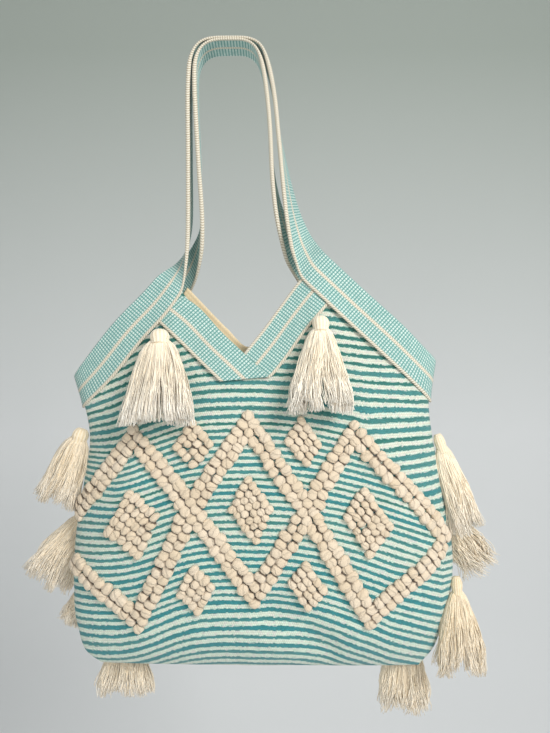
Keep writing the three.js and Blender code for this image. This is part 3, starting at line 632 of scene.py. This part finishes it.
backHandleTable = np.array([
    [-56, 21, -234, -40, 8, -262],
    [-45, 21, -219, -32, -9, -237],
    [-36, 20, -198, -30, -17, -206],
    [-36, 19, -125, -35, -19, -125],
    [-39, 19, -45, -39, -19, -45],
    [-37.5, 19, -19, -37.5, -19, -19],
    [-30, 19, -5, -30, -19, -5],
    [-18, 19, 0.3, -18, -19, 0.3],
    [0, 19, 0.8, 0, -19, 0.8],
    [18, 19, 0.3, 18, -19, 0.3],
    [28, 19, -6, 28, -19, -6],
    [35, 19, -22, 35, -19, -22],
    [41, 19, -58, 41, -19, -58],
    [45, 19, -98, 44.5, -19, -98],
    [52, 20, -152, 47, -19, -156],
    [65, 21, -192, 52, -15, -200],
    [85, 21, -217, 62, 4, -242],
])


# Smooth rows through a table, paced by the square roots of its middle line's chords
def rowsThrough(table, shares):
    middle = (table[:, :table.shape[1] // 2] + table[:, table.shape[1] // 2:]) / 2
    length = np.concatenate([[0], np.cumsum(np.sqrt(np.linalg.norm(np.diff(middle, axis=0), axis=1)))])
    return np.stack([smoothColumn(length, column)(shares * length[-1]) for column in table.T], axis=-1)


# Places across the webbing, crowded at its two corded edges
def acrossShares(steps):
    even = np.linspace(-1, 1, steps + 1)
    return (0.45 * even + 0.55 * np.sin(even * math.pi / 2) + 1) / 2


# Points between the two edges that each row gives, at shares across
def between(rows, across):
    half = rows.shape[1] // 2
    across = across[None, :, None]
    return rows[:, None, :half] * (1 - across) + rows[:, None, half:] * across


# Strip on a wall: rows of outer and inner edges seen from the front, set on the wall and lifted off it
def stripOnWall(table, facing, shares, across, lift):
    flat = between(rowsThrough(table, shares), across)
    places = placeOf(flat[..., 0], flat[..., 1])
    return onWall(*places, facing, np.broadcast_to(lift[:, None], flat.shape[:2]))


# Grid of points at even steps along its length, with the joins between its stretches eased
def evenLength(grid, step, ease):
    for turn in range(2):
        length = lengthAlong(grid.mean(axis=1))
        wanted = np.linspace(0, length[-1], int(length[-1] / step) + 1)
        flat = grid.reshape(len(grid), -1)
        flat = np.stack([np.interp(wanted, length, column) for column in flat.T], axis=-1)
        padded = np.concatenate([2 * flat[:1] - flat[ease:0:-1], flat, 2 * flat[-1:] - flat[-2:-ease - 2:-1]])
        kernel = np.hanning(2 * ease + 3)[1:-1]
        flat = np.stack([np.convolve(column, kernel / kernel.sum(), "valid") for column in padded.T], axis=-1)
        grid = flat.reshape(len(flat), grid.shape[1], 3)
    return grid, wanted


# Half thickness of the webbing, along and across: level, rising to a ridge in the middle, rounded at its
# first edge and as thick as a cord of the given half thickness at its last
def webbingHalf(across, cord):
    away = np.minimum(across, 1 - across) * strap["width"]
    fromLast = (1 - across) * strap["width"]
    cord = np.atleast_1d(cord)[:, None]
    rolled = cord * np.sqrt(np.clip(1 - ((fromLast - cord) / cord) ** 2, 0, 1))
    ridge = strap["ridge"] * np.exp(-((across - 0.5) * strap["width"] / 1.3) ** 2)
    level = (strap["half"] + ridge) * smoothStep(away, 0.0, strap["half"])
    return np.maximum(rolled, level) + 0.02


# Closed skin round a grid of middle points: the two faces stand off along its normal by the half thickness
def skinRound(grid, half):
    normal = unit(np.cross(np.gradient(grid, axis=0), np.gradient(grid, axis=1)))
    offset = normal * half[..., None]
    ring = np.concatenate([grid + offset, (grid - offset)[:, ::-1]], axis=1)
    rows, columns = ring.shape[:2]
    quads = gridQuads(rows, columns, closed=True)
    count = columns // 2
    first = np.arange(count - 1)
    cap = np.stack([first, first + 1, columns - 2 - first, columns - 1 - first], axis=-1)
    return ring.reshape(-1, 3), [quads[:, ::-1], cap, (cap + (rows - 1) * columns)[:, ::-1]]


# Coordinates on the webbing: across it in millimetres from a given start, and along it
def webbingUv(across, along, start=0.0):
    ring = start + np.concatenate([across, across[::-1]]) * (strap["width"] - start)
    if along.ndim == 1:
        along = np.broadcast_to(along[:, None], (len(along), len(across)))
    return np.stack([np.broadcast_to(ring, (len(along), len(ring))),
                     np.concatenate([along, along[:, ::-1]], axis=1)], axis=-1).reshape(-1, 2)


# Strap: a band up one side of the neck, over the handle loop and a band down the other side, in one length
def makeStrap(name, facing, handleTable, node):
    across = acrossShares(strap["acrossSteps"])
    shares = np.linspace(0, 1, strap["bandSections"])
    lift = strap["gap"] + (strap["overNeck"] - strap["gap"]) * smoothStep(shares, 0.1, 0.5) + strap["half"]
    leftBand = stripOnWall(leftBandTable, facing, shares, across, lift)
    rightBand = stripOnWall(rightBandTable, facing, shares, across, lift)[::-1]
    handle = between(rowsThrough(handleTable, np.linspace(0, 1, strap["handleSections"])), across)
    grid, along = evenLength(np.concatenate([leftBand, handle, rightBand]), strap["step"], strap["ease"])
    level = grid[..., 2].mean(axis=1)
    onHandle = smoothStep(-level, 0, 32) * smoothStep(level, -262, -215)
    cord = strap["cord"] + (strap["handleCord"] - strap["cord"]) * onHandle
    points, faces = skinRound(grid, webbingHalf(across, cord))
    piece = makePiece(name, points, faces, webbing, webbingUv(across, along))
    print(name, "length", round(float(along[-1])))
    place(piece, "webbing", node)
    return piece, along[-1]


frontStrap, frontLength = makeStrap("frontStrap", frontSide, frontHandleTable, "front_strap")
backStrap, backLength = makeStrap("backStrap", backSide, backHandleTable, "back_strap")
print("straps made")


# Neck bands

neckBand = {"under": 1.1, "over": 3.1, "cord": 1.2, "sections": 90, "acrossSteps": 24}
neckLeftTable = np.array([  # upper x, z, lower x, z of the left half, from the peak down to the fold
    [-53, -281, -79, -309],
    [-32, -296, -60, -327],
    [-9, -321, -36, -350],
    [16, -345, -14, -371],
    [43, -371, -9, -376],
])
neckRightTable = np.array([  # lower x, z, upper x, z of the right half, from the fold up to the peak
    [44, -372, -7, -375],
    [49, -368, 14, -348],
    [64, -349, 37, -319],
    [82, -323, 53, -297],
    [102, -299, 72, -271],
    [113, -286, 83, -258],
])


# Neck band: webbing turned back at the point of the V, so that its left half lies over its right half
def makeNeckBand(name, facing, node):
    across = acrossShares(neckBand["acrossSteps"])
    shares = np.linspace(0, 1, neckBand["sections"])
    rise = (neckBand["over"] - neckBand["under"]) * smoothStep(shares, 0.35, 0.65)
    ramp = neckBand["under"] + rise + strap["half"]
    under = np.full(len(shares), neckBand["under"] + strap["half"])
    allPoints, allFaces, allUv = [], [], []
    start = 0
    halves = ((neckLeftTable, ramp, 0.0), (neckRightTable, under, -webbingLook["selvedge"]))
    for table, lift, firstEdge in halves:
        grid = stripOnWall(table, facing, shares, across, lift)
        points, faces = skinRound(grid, webbingHalf(across, neckBand["cord"]) * np.ones((len(shares), 1)))
        run = unit(table[2, :2] - table[1, :2])
        along = grid[..., 0] * run[0] + grid[..., 2] * run[1]
        allPoints.append(points)
        allFaces += [face + start for face in faces]
        allUv.append(webbingUv(across, along, firstEdge))
        start += len(points)
    piece = makePiece(name, np.concatenate(allPoints), allFaces, webbing, np.concatenate(allUv))
    return place(piece, "webbing", node)


frontNeckBand = makeNeckBand("frontNeckBand", frontSide, "front_neck_band")
backNeckBand = makeNeckBand("backNeckBand", backSide, "back_neck_band")

neckFacing = {
    "half": 0.6,              # half its thickness
    "lift": -3.0,             # under the wall
    "width": 8.0,             # of its weave
    "length": 190.0,
    "sections": 120,
    "acrossSteps": 8,
}
facingTable = np.array([  # outer x, z, inner x, z
    [-52, -269, -58, -278],
    [-6, -316, -14, -325],
    [18.5, -337, 18.5, -350],
    [37, -319, 45, -328],
    [73, -272, 80, -281],
])


# Facing: a narrow strip inside the back neck, with rounded edges
def makeFacing():
    across = acrossShares(neckFacing["acrossSteps"])
    shares = np.linspace(0, 1, neckFacing["sections"])
    grid = stripOnWall(facingTable, backSide, shares, across, np.full(len(shares), neckFacing["lift"]))
    half = neckFacing["half"] * np.sqrt(1 - (2 * across - 1) ** 6) + 0.02
    points, faces = skinRound(grid, np.broadcast_to(half, grid.shape[:2]))
    along = np.linspace(0, neckFacing["length"], len(shares))
    uv = webbingUv(across, along) * np.array([neckFacing["width"] / strap["width"], 1])
    piece = makePiece("backNeckFacing", points, faces, tanTape, uv)
    return place(piece, "tan_tape", "back_neck_facing")


backNeckFacing = makeFacing()
print("neck made")


# Knots

knot = {
    "pitch": 10.2,            # mm from knot to knot along a line of the lattice
    "rowGap": 10.4,           # mm between the two rows of a line
    "fill": 0.6,              # half a knot as a share of the step to the next
    "tall": 5.0,
    "base": 1.2,              # foot of a knot over the cloth
    "square": 2.8,            # 2 is round, higher is squarer
    "sides": 10,
    "loose": 0.6,             # how far a knot may lie off its place, mm
    "uneven": 0.07,           # how much a knot's size may differ
    "tilt": 0.1,
    "samples": 200,           # places by which a line's length is measured
}
knotTable = np.array([  # how far a ring reaches, how high it lies
    [0.95, -0.2], [1.01, 0.15], [0.97, 0.48], [0.86, 0.75], [0.6, 0.93], [0.2, 1.0],
])
diamondTable = [  # piece, node, column, row, knots down to the right and down to the left,
    # half height, half width on the left and on the right, in steps of the pattern, lean
    ("tuftDiamondLeft", "tuft_diamond_left", -1.95, 0.035, 6, 5, 2.25, 1.95, 2.1, 0.17),
    ("tuftDiamondMiddle", "tuft_diamond_middle", 0.02, -0.02, 6, 5, 2.25, 2.05, 2.05, 0.11),
    ("tuftDiamondRight", "tuft_diamond_right", 2, 0.02, 6, 5, 2.15, 2.15, 1.6, 0.0),
    ("tuftNotchTopLeft", "tuft_notch_top_left", -0.98, 0.73, 4, 4, 1.45, 1.7, 1.7, 0.05),
    ("tuftNotchTopRight", "tuft_notch_top_right", 1.05, 0.77, 4, 4, 1.45, 1.7, 1.7, 0.0),
    ("tuftNotchBottomLeft", "tuft_notch_bottom_left", -1.0, -0.84, 4, 4, 1.4, 1.6, 1.6, 0.1),
    ("tuftNotchBottomRight", "tuft_notch_bottom_right", 0.95, -0.8, 4, 4, 1.4, 1.7, 1.7, 0.05),
]


# Point over the front at a knot's place, counted along the pattern's two slanting directions, with its lean
def onPattern(right, left, lift):
    column = (right - left) / pattern["period"] - 2
    row = 1 - (right + left) / pattern["period"]
    topLean, bottomLean = (np.interp(column, leanTable[:, 0], leanTable[:, i]) for i in (1, 2))
    x = patternX(column) + np.where(row > 0, topLean, -bottomLean) * row
    dip = 1 - pattern["dip"] * np.maximum(1 - np.abs(column), 0)
    z = patternZ(column) + row * np.where(row > 0, pattern["up"], pattern["down"]) * dip
    return onWall(*placeOf(x, z), frontSide, lift)


# Frame of the pattern at a place: the point, one step right, one step left, and the way out of the cloth
def patternFrame(right, left):
    middle = onPattern(right, left, knot["base"])
    rightWay = onPattern(right + 0.5, left, knot["base"]) - onPattern(right - 0.5, left, knot["base"])
    leftWay = onPattern(right, left + 0.5, knot["base"]) - onPattern(right, left - 0.5, knot["base"])
    out = unit(np.cross(leftWay, rightWay))
    return middle, rightWay, leftWay, -np.sign(out[:, 1:2]) * out


# How far the step along one way of the pattern leads off the other way
def stepWidth(way, other, out):
    return np.abs((other * np.cross(out, unit(way))).sum(axis=-1))


# Knots: each a squarish cushion on the two given ways over the cloth, whose lengths are its half sizes, with
# steep sides and a soft top, none quite alike
def makeKnots(name, node, middle, along, across, out, seed):
    rng = np.random.default_rng(seed)
    count = len(middle)
    halfAlong, halfAcross = np.linalg.norm(along, axis=-1), np.linalg.norm(across, axis=-1)
    alongWay, acrossWay = along / halfAlong[:, None], across / halfAcross[:, None]
    # squarish outline, pulled out of true, turned a little, with each knot's own size
    angle = (np.arange(knot["sides"]) * 2 * math.pi / knot["sides"])[None, :]
    corner = np.abs(np.cos(angle)) ** knot["square"] + np.abs(np.sin(angle)) ** knot["square"]
    phase = rng.uniform(0, 6.28, (2, count, 1))
    outline = corner ** (-1 / knot["square"]) + 0.05 * np.cos(2 * angle + phase[0])
    outline = outline + 0.04 * np.cos(3 * angle + phase[1])
    size = rng.normal(1, knot["uneven"], (3, count))
    turn = angle + rng.normal(0, 0.18, (count, 1))
    loose = rng.normal(0, knot["loose"], (2, count, 1, 1))
    reach = outline[:, None, :] * knotTable[None, :, :1]
    alongAt = reach * np.cos(turn)[:, None, :] * (size[0] * halfAlong)[:, None, None] + loose[0]
    acrossAt = reach * np.sin(turn)[:, None, :] * (size[1] * halfAcross)[:, None, None] + loose[1]
    level = np.broadcast_to(knotTable[None, :, 1:], reach.shape)
    tilt = rng.normal(0, knot["tilt"], (2, count, 1, 1))
    rise = level * size[2][:, None, None] * knot["tall"]
    rise = rise + np.maximum(level, 0) * (tilt[0] * alongAt + tilt[1] * acrossAt)
    points = (middle[:, None, None, :] + alongAt[..., None] * alongWay[:, None, None, :]
              + acrossAt[..., None] * acrossWay[:, None, None, :] + rise[..., None] * out[:, None, None, :])
    faces = tubeFaces(count, len(knotTable), knot["sides"])
    # painted shade in the creases: points about as near to a next knot's middle as to their own darken,
    # darkest where that knot lies above to the right or below to the left, as the light falls from the upper
    # right
    flat = points - rise[..., None] * out[:, None, None, :]
    apart = np.linalg.norm(middle[:, None] - middle[None], axis=-1) + 1000 * np.eye(count)
    nextKnots = middle[np.argsort(apart, axis=1)[:, :6]]
    toNext = nextKnots - middle[:, None]
    slant = 2 * toNext[..., 0] * toNext[..., 2] / (toNext ** 2).sum(axis=-1)
    dark = (0.76 + 0.36 * slant) * rng.uniform(0.75, 1.15, slant.shape)
    ownAway = np.linalg.norm(flat - middle[:, None, None], axis=-1)
    nextAway = np.linalg.norm(flat[:, :, :, None] - nextKnots[:, None, None], axis=-1)
    near = 1 - smoothStep(nextAway - ownAway[..., None], -0.3, 2.4)
    creaseShade = (near * dark[:, None, None]).max(axis=-1)
    # the yarn's run over each knot, for its plies
    lay = rng.uniform(0, math.pi, (count, 1, 1))
    shift = rng.uniform(0, 40, (count, 1, 1))
    uv = np.stack([alongAt * np.cos(lay) + acrossAt * np.sin(lay) + shift,
                   acrossAt * np.cos(lay) - alongAt * np.sin(lay) + shift], axis=-1)
    tone = np.broadcast_to(rng.uniform(0, 1, (count, 1, 1)), rise.shape)
    piece = makePiece(name, points.reshape(-1, 3), faces, tuftYarn, uv.reshape(-1, 2),
                      {"tone": tone.ravel(), "creaseShade": creaseShade.ravel()})
    return place(piece, "tuft_yarn", node)


# Line of the lattice: two rows of knots at an even pitch, begun and ended a given length inside its ends
def linePlaces(start, end, fixed, leftward, trim):
    run = np.linspace(start, end, knot["samples"])
    still = np.full(len(run), float(fixed))
    middle, rightWay, leftWay, out = patternFrame(*((still, run) if leftward else (run, still)))
    ways = (leftWay, rightWay) if leftward else (rightWay, leftWay)
    width = stepWidth(*ways, out)
    length = lengthAlong(middle)
    count = int(round((length[-1] - 2 * trim) / knot["pitch"])) + 1
    wanted = np.linspace(trim, length[-1] - trim, count)
    along = np.interp(wanted, length, run)
    along += np.minimum(wanted, 0) * (run[1] - run[0]) / length[1]
    along += np.maximum(wanted - length[-1], 0) * (run[-1] - run[-2]) / (length[-1] - length[-2])
    off = knot["rowGap"] / 2 / np.interp(wanted, length, width)
    along = np.concatenate([along, along])
    off = fixed + np.concatenate([off, -off])
    return np.stack([off, along] if leftward else [along, off])


# Places of the lattice's knots: the edges of three large diamonds in a row. Lines to the right run through,
# and those to the left stop short of them. On the left both end where the cloth turns to the back
def latticePlaces():
    period = pattern["period"]
    reach = knot["rowGap"] / 2
    through = [(0.29, 1, 1), (0, 2, 0), (1, 3, -1), (2, 3, -2)]
    stopping = [(0, 0.82, 0), (0, 1, 1), (-1, 0, 1), (-1, 0, 2), (-2, -1, 2), (-2, -1, 3)]
    rightward = [linePlaces(a * period, b * period, c * period, False, -reach) for a, b, c in through]
    leftward = [linePlaces(a * period, b * period, c * period, True, 3 * reach) for a, b, c in stopping]
    counts = [sum(part.shape[1] for part in parts) for parts in (rightward, leftward)]
    return np.concatenate(rightward + leftward, axis=1), np.arange(sum(counts)) >= counts[0]


# Lattice: knots square to the line that they are on
def makeLattice():
    places, leftward = latticePlaces()
    middle, rightWay, leftWay, out = patternFrame(*places)
    way = unit(np.where(leftward[:, None], leftWay, rightWay))
    along = way * knot["fill"] * knot["pitch"]
    across = np.cross(out, way) * knot["fill"] * knot["rowGap"]
    makeKnots("tuftLattice", "tuft_lattice", middle, along, across, out, 11)


# Small diamond: a slanting grid of knots with a given half height, half widths and lean, its knots square to
# the rows that run down to the right
def makeDiamond(name, node, column, row, downRight, downLeft, tall, wideLeft, wideRight, lean, seed):
    a, b = np.meshgrid(np.linspace(-1, 1, downRight), np.linspace(-1, 1, downLeft), indexing="ij")
    down = tall * (a + b).ravel() / 2
    over = (a - b).ravel() / 2
    over = over * np.where(over > 0, wideRight, wideLeft) + lean * down
    right = pattern["period"] * (column + 3 - row) / 2 + down + over
    left = pattern["period"] * (-column - 1 - row) / 2 + down - over
    middle, rightWay, leftWay, out = patternFrame(right, left)
    wide = (wideLeft + wideRight) / 2
    stepRight = ((tall + wide) * rightWay + (tall - wide) * leftWay) / (downRight - 1)
    stepLeft = ((tall - wide) * rightWay + (tall + wide) * leftWay) / (downLeft - 1)
    across = np.cross(out, unit(stepRight)) * stepWidth(stepRight, stepLeft, out)[:, None]
    makeKnots(name, node, middle, knot["fill"] * stepRight, knot["fill"] * across, out, seed)


makeLattice()
for seed, row in enumerate(diamondTable):
    makeDiamond(*row, 21 + seed)
print("knots made")


# Tassels

tassel = {
    "strands": 880,           # of a tassel of full size
    "locks": 17,              # strands gather into this many locks
    "thread": 0.52,           # half a strand's thickness
    "strandSides": 3,
    "segments": 12,
    "waves": 3.0,             # how far a lock wanders, mm
    "crinkle": 1.0,           # how far a strand wanders from its lock
    "ragged": 0.12,           # how much shorter the shortest locks are
    "core": 0.62,             # share of the bell that the core fills
    "coreLength": 0.8,
    "coreSides": 16,
    "coreRings": 9,
    "headSides": 52,
    "headRings": 16,
    "headYarns": 13,          # turns of yarn that show round a head
}
# tan: how far all of a tassel's yarn is mixed toward the shade colour, set higher on the side tassels to make
# them darker
tasselTable = [  # piece, node, place of the head, place of the tips, head radius and tallness,
    # half width and depth of the skirt, its slimness at the top, how far it parts, strands, looseness, tan
    ("tasselFrontLeft", "tassel_front_left", (-73.5, -36.2, -328), (-71, -66, -424),
     10.8, 0.8, 40, 15, 1.0, 3, 1.0, 1.0, 0.12),
    ("tasselFrontRight", "tassel_front_right", (99, -37.2, -314), (97, -64, -411),
     9.5, 0.95, 36, 14, 1.05, 7, 1.0, 1.2, 0.14),
    ("tasselLeft1", "tassel_left_1", (-169.9, 0, -438), (-199, -4, -516),
     9.5, 1.0, 25, 15, 0.7, 0, 0.8, 1.1, 0.55),
    ("tasselLeft2", "tassel_left_2", (-166, 20.8, -532), (-221, 24, -614),
     9, 1.0, 30, 12, 1.0, 0, 0.85, 1.3, 0.6),
    ("tasselLeft3", "tassel_left_3", (-168, 19.9, -612), (-190, 22, -660),
     8, 1.0, 15, 10, 1.0, 0, 0.5, 1.0, 0.55),
    ("tasselLeft4", "tassel_left_4", (-124, 24.8, -675), (-125, 22, -744),
     8, 1.0, 36, 12, 1.0, 4, 0.8, 1.1, 0.55),
    ("tasselRight1", "tassel_right_1", (235.6, -3, -446), (265, -17, -548),
     6.5, 1.9, 18, 9, 0.75, 0, 0.6, 1.3, 0.5),
    ("tasselRight2", "tassel_right_2", (243, 18.9, -530), (295, 22, -600),
     8.5, 1.0, 25, 12, 1.0, 0, 0.6, 2.6, 0.5),
    ("tasselRight3", "tassel_right_3", (253, -8, -604), (255, -20, -700),
     6.5, 1.7, 30, 13, 1.3, 4, 0.8, 1.3, 0.8),
    ("tasselRight4", "tassel_right_4", (200, 23.4, -676), (199, 22, -762),
     8, 1.0, 31, 12, 0.7, 0, 0.85, 1.5, 0.6),
]
bellTable = np.array([  # down, how far the outer strands stand out
    [0.0, 0.26], [0.07, 0.46], [0.24, 0.67], [0.42, 0.81], [0.6, 0.91], [0.8, 0.97], [1.0, 1.0],
])
bell = smoothColumn(bellTable[:, 0], bellTable[:, 1])


# Tassel: a head of wrapped yarn, a core coloured with painted shade and a bell of strands that leave the
# head, fan out to the tips and part in the middle by a given length
def makeTassel(name, node, headAt, tipAt, head, tall, wide, deep, slim, part, share, loose, tan, seed):
    rng = np.random.default_rng(seed)
    headAt, tipAt = np.array(headAt, float), np.array(tipAt, float)
    upWay = unit(headAt - tipAt)
    acrossWay = unit(np.cross([0.0, -1.0, 0.0], upWay))
    depthWay = np.cross(acrossWay, upWay)
    root = headAt - upWay * head * tall * 0.4
    run = tipAt - root

    def bellPoint(down, across, depth):
        return root + down[..., None] * run + across[..., None] * acrossWay + depth[..., None] * depthWay

    # strands: gathered in locks, crowded at the outside of the bell, each with its own wave and length
    count = int(tassel["strands"] * share)
    locks = tassel["locks"]
    lock = rng.integers(0, locks, count)
    lockAngle = (np.arange(locks) + rng.uniform(-0.35, 0.35, locks)) * 2 * math.pi / locks
    lockPhase, lockTurns = rng.uniform(0, 6.28, locks), rng.uniform(4, 8, locks)
    lockLength = 1 - tassel["ragged"] * loose * rng.random(locks)
    angle = (lockAngle[lock] + rng.normal(0, 2.4 / locks, count))[:, None]
    stand = 0.5 + 0.5 * np.sqrt(rng.random((count, 1)))
    length = lockLength[lock][:, None] * (1 - 0.12 * rng.random((count, 1)) ** 2)
    down = np.linspace(0, 1, tassel["segments"] + 1)[None, :] * length
    spread = bell(down) ** slim * stand
    wave = np.sin(down * lockTurns[lock][:, None] + lockPhase[lock][:, None])
    wave = loose * tassel["waves"] * down ** 1.5 * wave
    own = np.sin(down * rng.uniform(9, 19, (count, 1)) + rng.uniform(0, 6.28, (count, 1)))
    own = own * loose * tassel["crinkle"] * (0.25 + 0.75 * down) * smoothStep(down, 0, 0.12)
    stray = loose * rng.normal(0, 1.5, (2, count, 1)) * down ** 2
    parted = part * np.sign(np.cos(lockAngle))[lock][:, None] * down ** 1.5
    acrossAt = spread * np.cos(angle) * (wide - 2 - part) + parted + wave + own + stray[0]
    depthAt = spread * np.sin(angle) * (deep - 1) + 0.5 * wave + own + 0.5 * stray[1]
    lines = bellPoint(down, acrossAt, depthAt)
    # strands that would pass through the bag lie on the side of it that the head is on
    places = placeOf(lines[..., 0], lines[..., 2])
    inside = (lines[..., 0] > leftX(places[1]) + 1) & (lines[..., 0] < rightX(places[1]) - 1)
    inside &= lines[..., 2] > heightAt(places[0], 0.0) + 2
    facing = backSide if headAt[1] > 1 else frontSide
    limit = onWall(*places, facing, 2.0)[..., 1]
    outer = facing * np.maximum(facing * lines[..., 1], facing * limit)
    lines[..., 1] = np.where(inside, outer, lines[..., 1])
    corner = (np.arange(tassel["strandSides"]) * 2 * math.pi / tassel["strandSides"])[:, None]
    thin = tassel["thread"] * (1 - 0.25 * (down / length) ** 3)
    ring = np.cos(corner) * acrossWay + np.sin(corner) * depthWay
    strandPoints = lines[:, :, None, :] + ring * thin[:, :, None, None]
    faces = tubeFaces(count, lines.shape[1], tassel["strandSides"])
    strandDown = np.broadcast_to(down[:, :, None], strandPoints.shape[:3])
    strandTone = np.broadcast_to(tan + rng.random((count, 1, 1)) ** 3 * 0.7, strandPoints.shape[:3])

    # core: a slimmer bell inside the strands, short where they part, coloured with painted shade
    coreDown = np.linspace(0, tassel["coreLength"] / (1 + 0.2 * part), tassel["coreRings"])[:, None]
    coreAngle = np.arange(tassel["coreSides"])[None, :] * 2 * math.pi / tassel["coreSides"]
    coreSpread = bell(coreDown) ** slim * tassel["core"]
    corePoints = bellPoint(coreDown, coreSpread * np.cos(coreAngle) * (wide - 2),
                           coreSpread * np.sin(coreAngle) * (deep - 1))

    # head: a ball drawn in to a tied neck, ridged by the yarn that runs over it, with painted shade in the
    # grooves between the yarns
    turns = np.arange(tassel["headSides"])[None, :] * 2 * math.pi / tassel["headSides"]
    drop = np.linspace(0.08, 1, tassel["headRings"])[:, None]
    profile = np.sqrt(1 - (1 - np.minimum(drop * 2, 1)) ** 2) * (1 - 0.14 * smoothStep(drop, 0.55, 0.86))
    tie = 0.03 * np.exp(-((drop - 0.95) / 0.04) ** 2)
    yarns = np.cos(turns * tassel["headYarns"] + 1.5 * drop)
    radius = head * 0.94 * (profile + tie) * (1 + 0.045 * yarns)
    along = head * tall * (1 - 2.0 * drop)
    headPoints = (headAt + along[..., None] * upWay + (radius * np.cos(turns))[..., None] * acrossWay
                  + (radius * np.sin(turns))[..., None] * depthWay)

    points = [strandPoints.reshape(-1, 3), corePoints.reshape(-1, 3), headPoints.reshape(-1, 3)]
    coreFaces = tubeFaces(1, tassel["coreRings"], tassel["coreSides"])
    headFaces = tubeFaces(1, tassel["headRings"], tassel["headSides"])
    faces += [face + len(points[0]) for face in coreFaces]
    faces += [face + len(points[0]) + len(points[1]) for face in headFaces]
    downAll = np.concatenate([strandDown.ravel(), np.zeros(len(points[1])), np.zeros(len(points[2]))])
    # painted shade in the head's grooves between the yarns; the core is painted in shade by its fixed tone
    headTone = 0.5 - 0.5 * yarns + tan
    toneAll = np.concatenate([strandTone.ravel(), np.full(len(points[1]), 0.7), headTone.ravel()])
    piece = makePiece(name, np.concatenate(points), faces, tasselYarn, None,
                      {"down": downAll, "tone": toneAll})
    return place(piece, "tassel_yarn", node)


for seed, row in enumerate(tasselTable):
    makeTassel(*row, 51 + seed)
print("tassels made")


# Stage, light and camera

stage = {
    "floor": -1.75,           # height of the floor, metres
    "wallAway": 1.55,         # how far behind the bag the floor turns up
    "turn": 0.5,              # radius of the turn
    "height": 6.0,
    "reach": 9.0,
    "colour": "#e4e5e5",
    # painted shade: the paper darkens towards the top of the wall, where less light falls
    "shadedUpperColour": "#b2b9b1",
    "gradient": (-0.6, 0.8),  # heights between which the paper darkens
}


# Floor and backdrop: one profile of floor, quarter circle and wall, carried along x, with painted shade
# darkening the paper towards the top
def makeStage():
    bend = np.linspace(0, math.pi / 2, 17)
    y = np.concatenate([[-stage["reach"]], stage["wallAway"] + stage["turn"] * (np.sin(bend) - 1),
                        [stage["wallAway"]]])
    z = np.concatenate([[0], stage["turn"] * (1 - np.cos(bend)), [stage["height"] - stage["floor"]]])
    z = z + stage["floor"]
    x = np.array([-stage["reach"], stage["reach"]])
    points = np.stack(np.broadcast_arrays(x[None, :], y[:, None], z[:, None]), axis=-1).reshape(-1, 3)
    material = bpy.data.materials.new("pale backdrop paper with painted shade above")
    material.use_nodes = True
    tree = material.node_tree
    shader = tree.nodes["Principled BSDF"]
    shader.inputs["Roughness"].default_value = 0.95
    shader.inputs["Specular IOR Level"].default_value = 0.1
    place3d = addNode(tree, "TexCoord")["Object"]
    height = addNode(tree, "SeparateXYZ", {0: place3d})[2]
    share = addNode(tree, "MapRange", {0: height, 1: stage["gradient"][0], 2: stage["gradient"][1]})[0]
    paper = addNode(tree, "Mix", {0: share, 6: stage["colour"], 7: stage["shadedUpperColour"]}, data_type="RGBA")[2]
    tree.links.new(paper, shader.inputs["Base Color"])
    floor = makePiece("floor", points / mm, [gridQuads(len(y), 2)], material)


makeStage()

sky = {"colour": "#e6eaea", "strength": 0.55}
world = bpy.data.worlds.new("studio")
bpy.context.scene.world = world
world.use_nodes = True
world.node_tree.nodes["Background"].inputs[0].default_value = hexColour(sky["colour"])
world.node_tree.nodes["Background"].inputs[1].default_value = sky["strength"]

lights = {  # place, aim, size, watts
    "key": ((1.1, -1.5, 0.5), (0.05, 0.0, -0.42), 0.8, 38),
    "fill": ((-0.3, -1.8, -0.8), (0.05, 0.4, -0.66), 1.5, 11),
    "back": ((-0.2, 1.4, 0.0), (-0.15, 0.0, -0.02), 1.2, 11),
}
for name, (spot, aim, size, watts) in lights.items():
    lamp = bpy.data.lights.new(name, "AREA")
    lamp.size = size
    lamp.energy = watts
    light = bpy.data.objects.new(name, lamp)
    light.visible_camera = False
    away = np.array(spot) - np.array(aim)
    light.location = spot
    tip = math.atan2(math.hypot(away[0], away[1]), away[2])
    light.rotation_euler = (tip, 0, math.atan2(away[0], -away[1]))
    bpy.context.scene.collection.objects.link(light)

camera = {"at": (0.05, -0.70, -0.36), "lens": 30.42, "sensor": 36.0}
lensData = bpy.data.cameras.new("camera")
lensData.sensor_width = camera["sensor"]
lensData.lens = camera["lens"]
eye = bpy.data.objects.new("camera", lensData)
eye.location = camera["at"]
eye.rotation_euler = (math.pi / 2, 0, 0)
bpy.context.scene.collection.objects.link(eye)
bpy.context.scene.camera = eye
bpy.context.scene.view_settings.view_transform = "Standard"
print("stage, light and camera made")
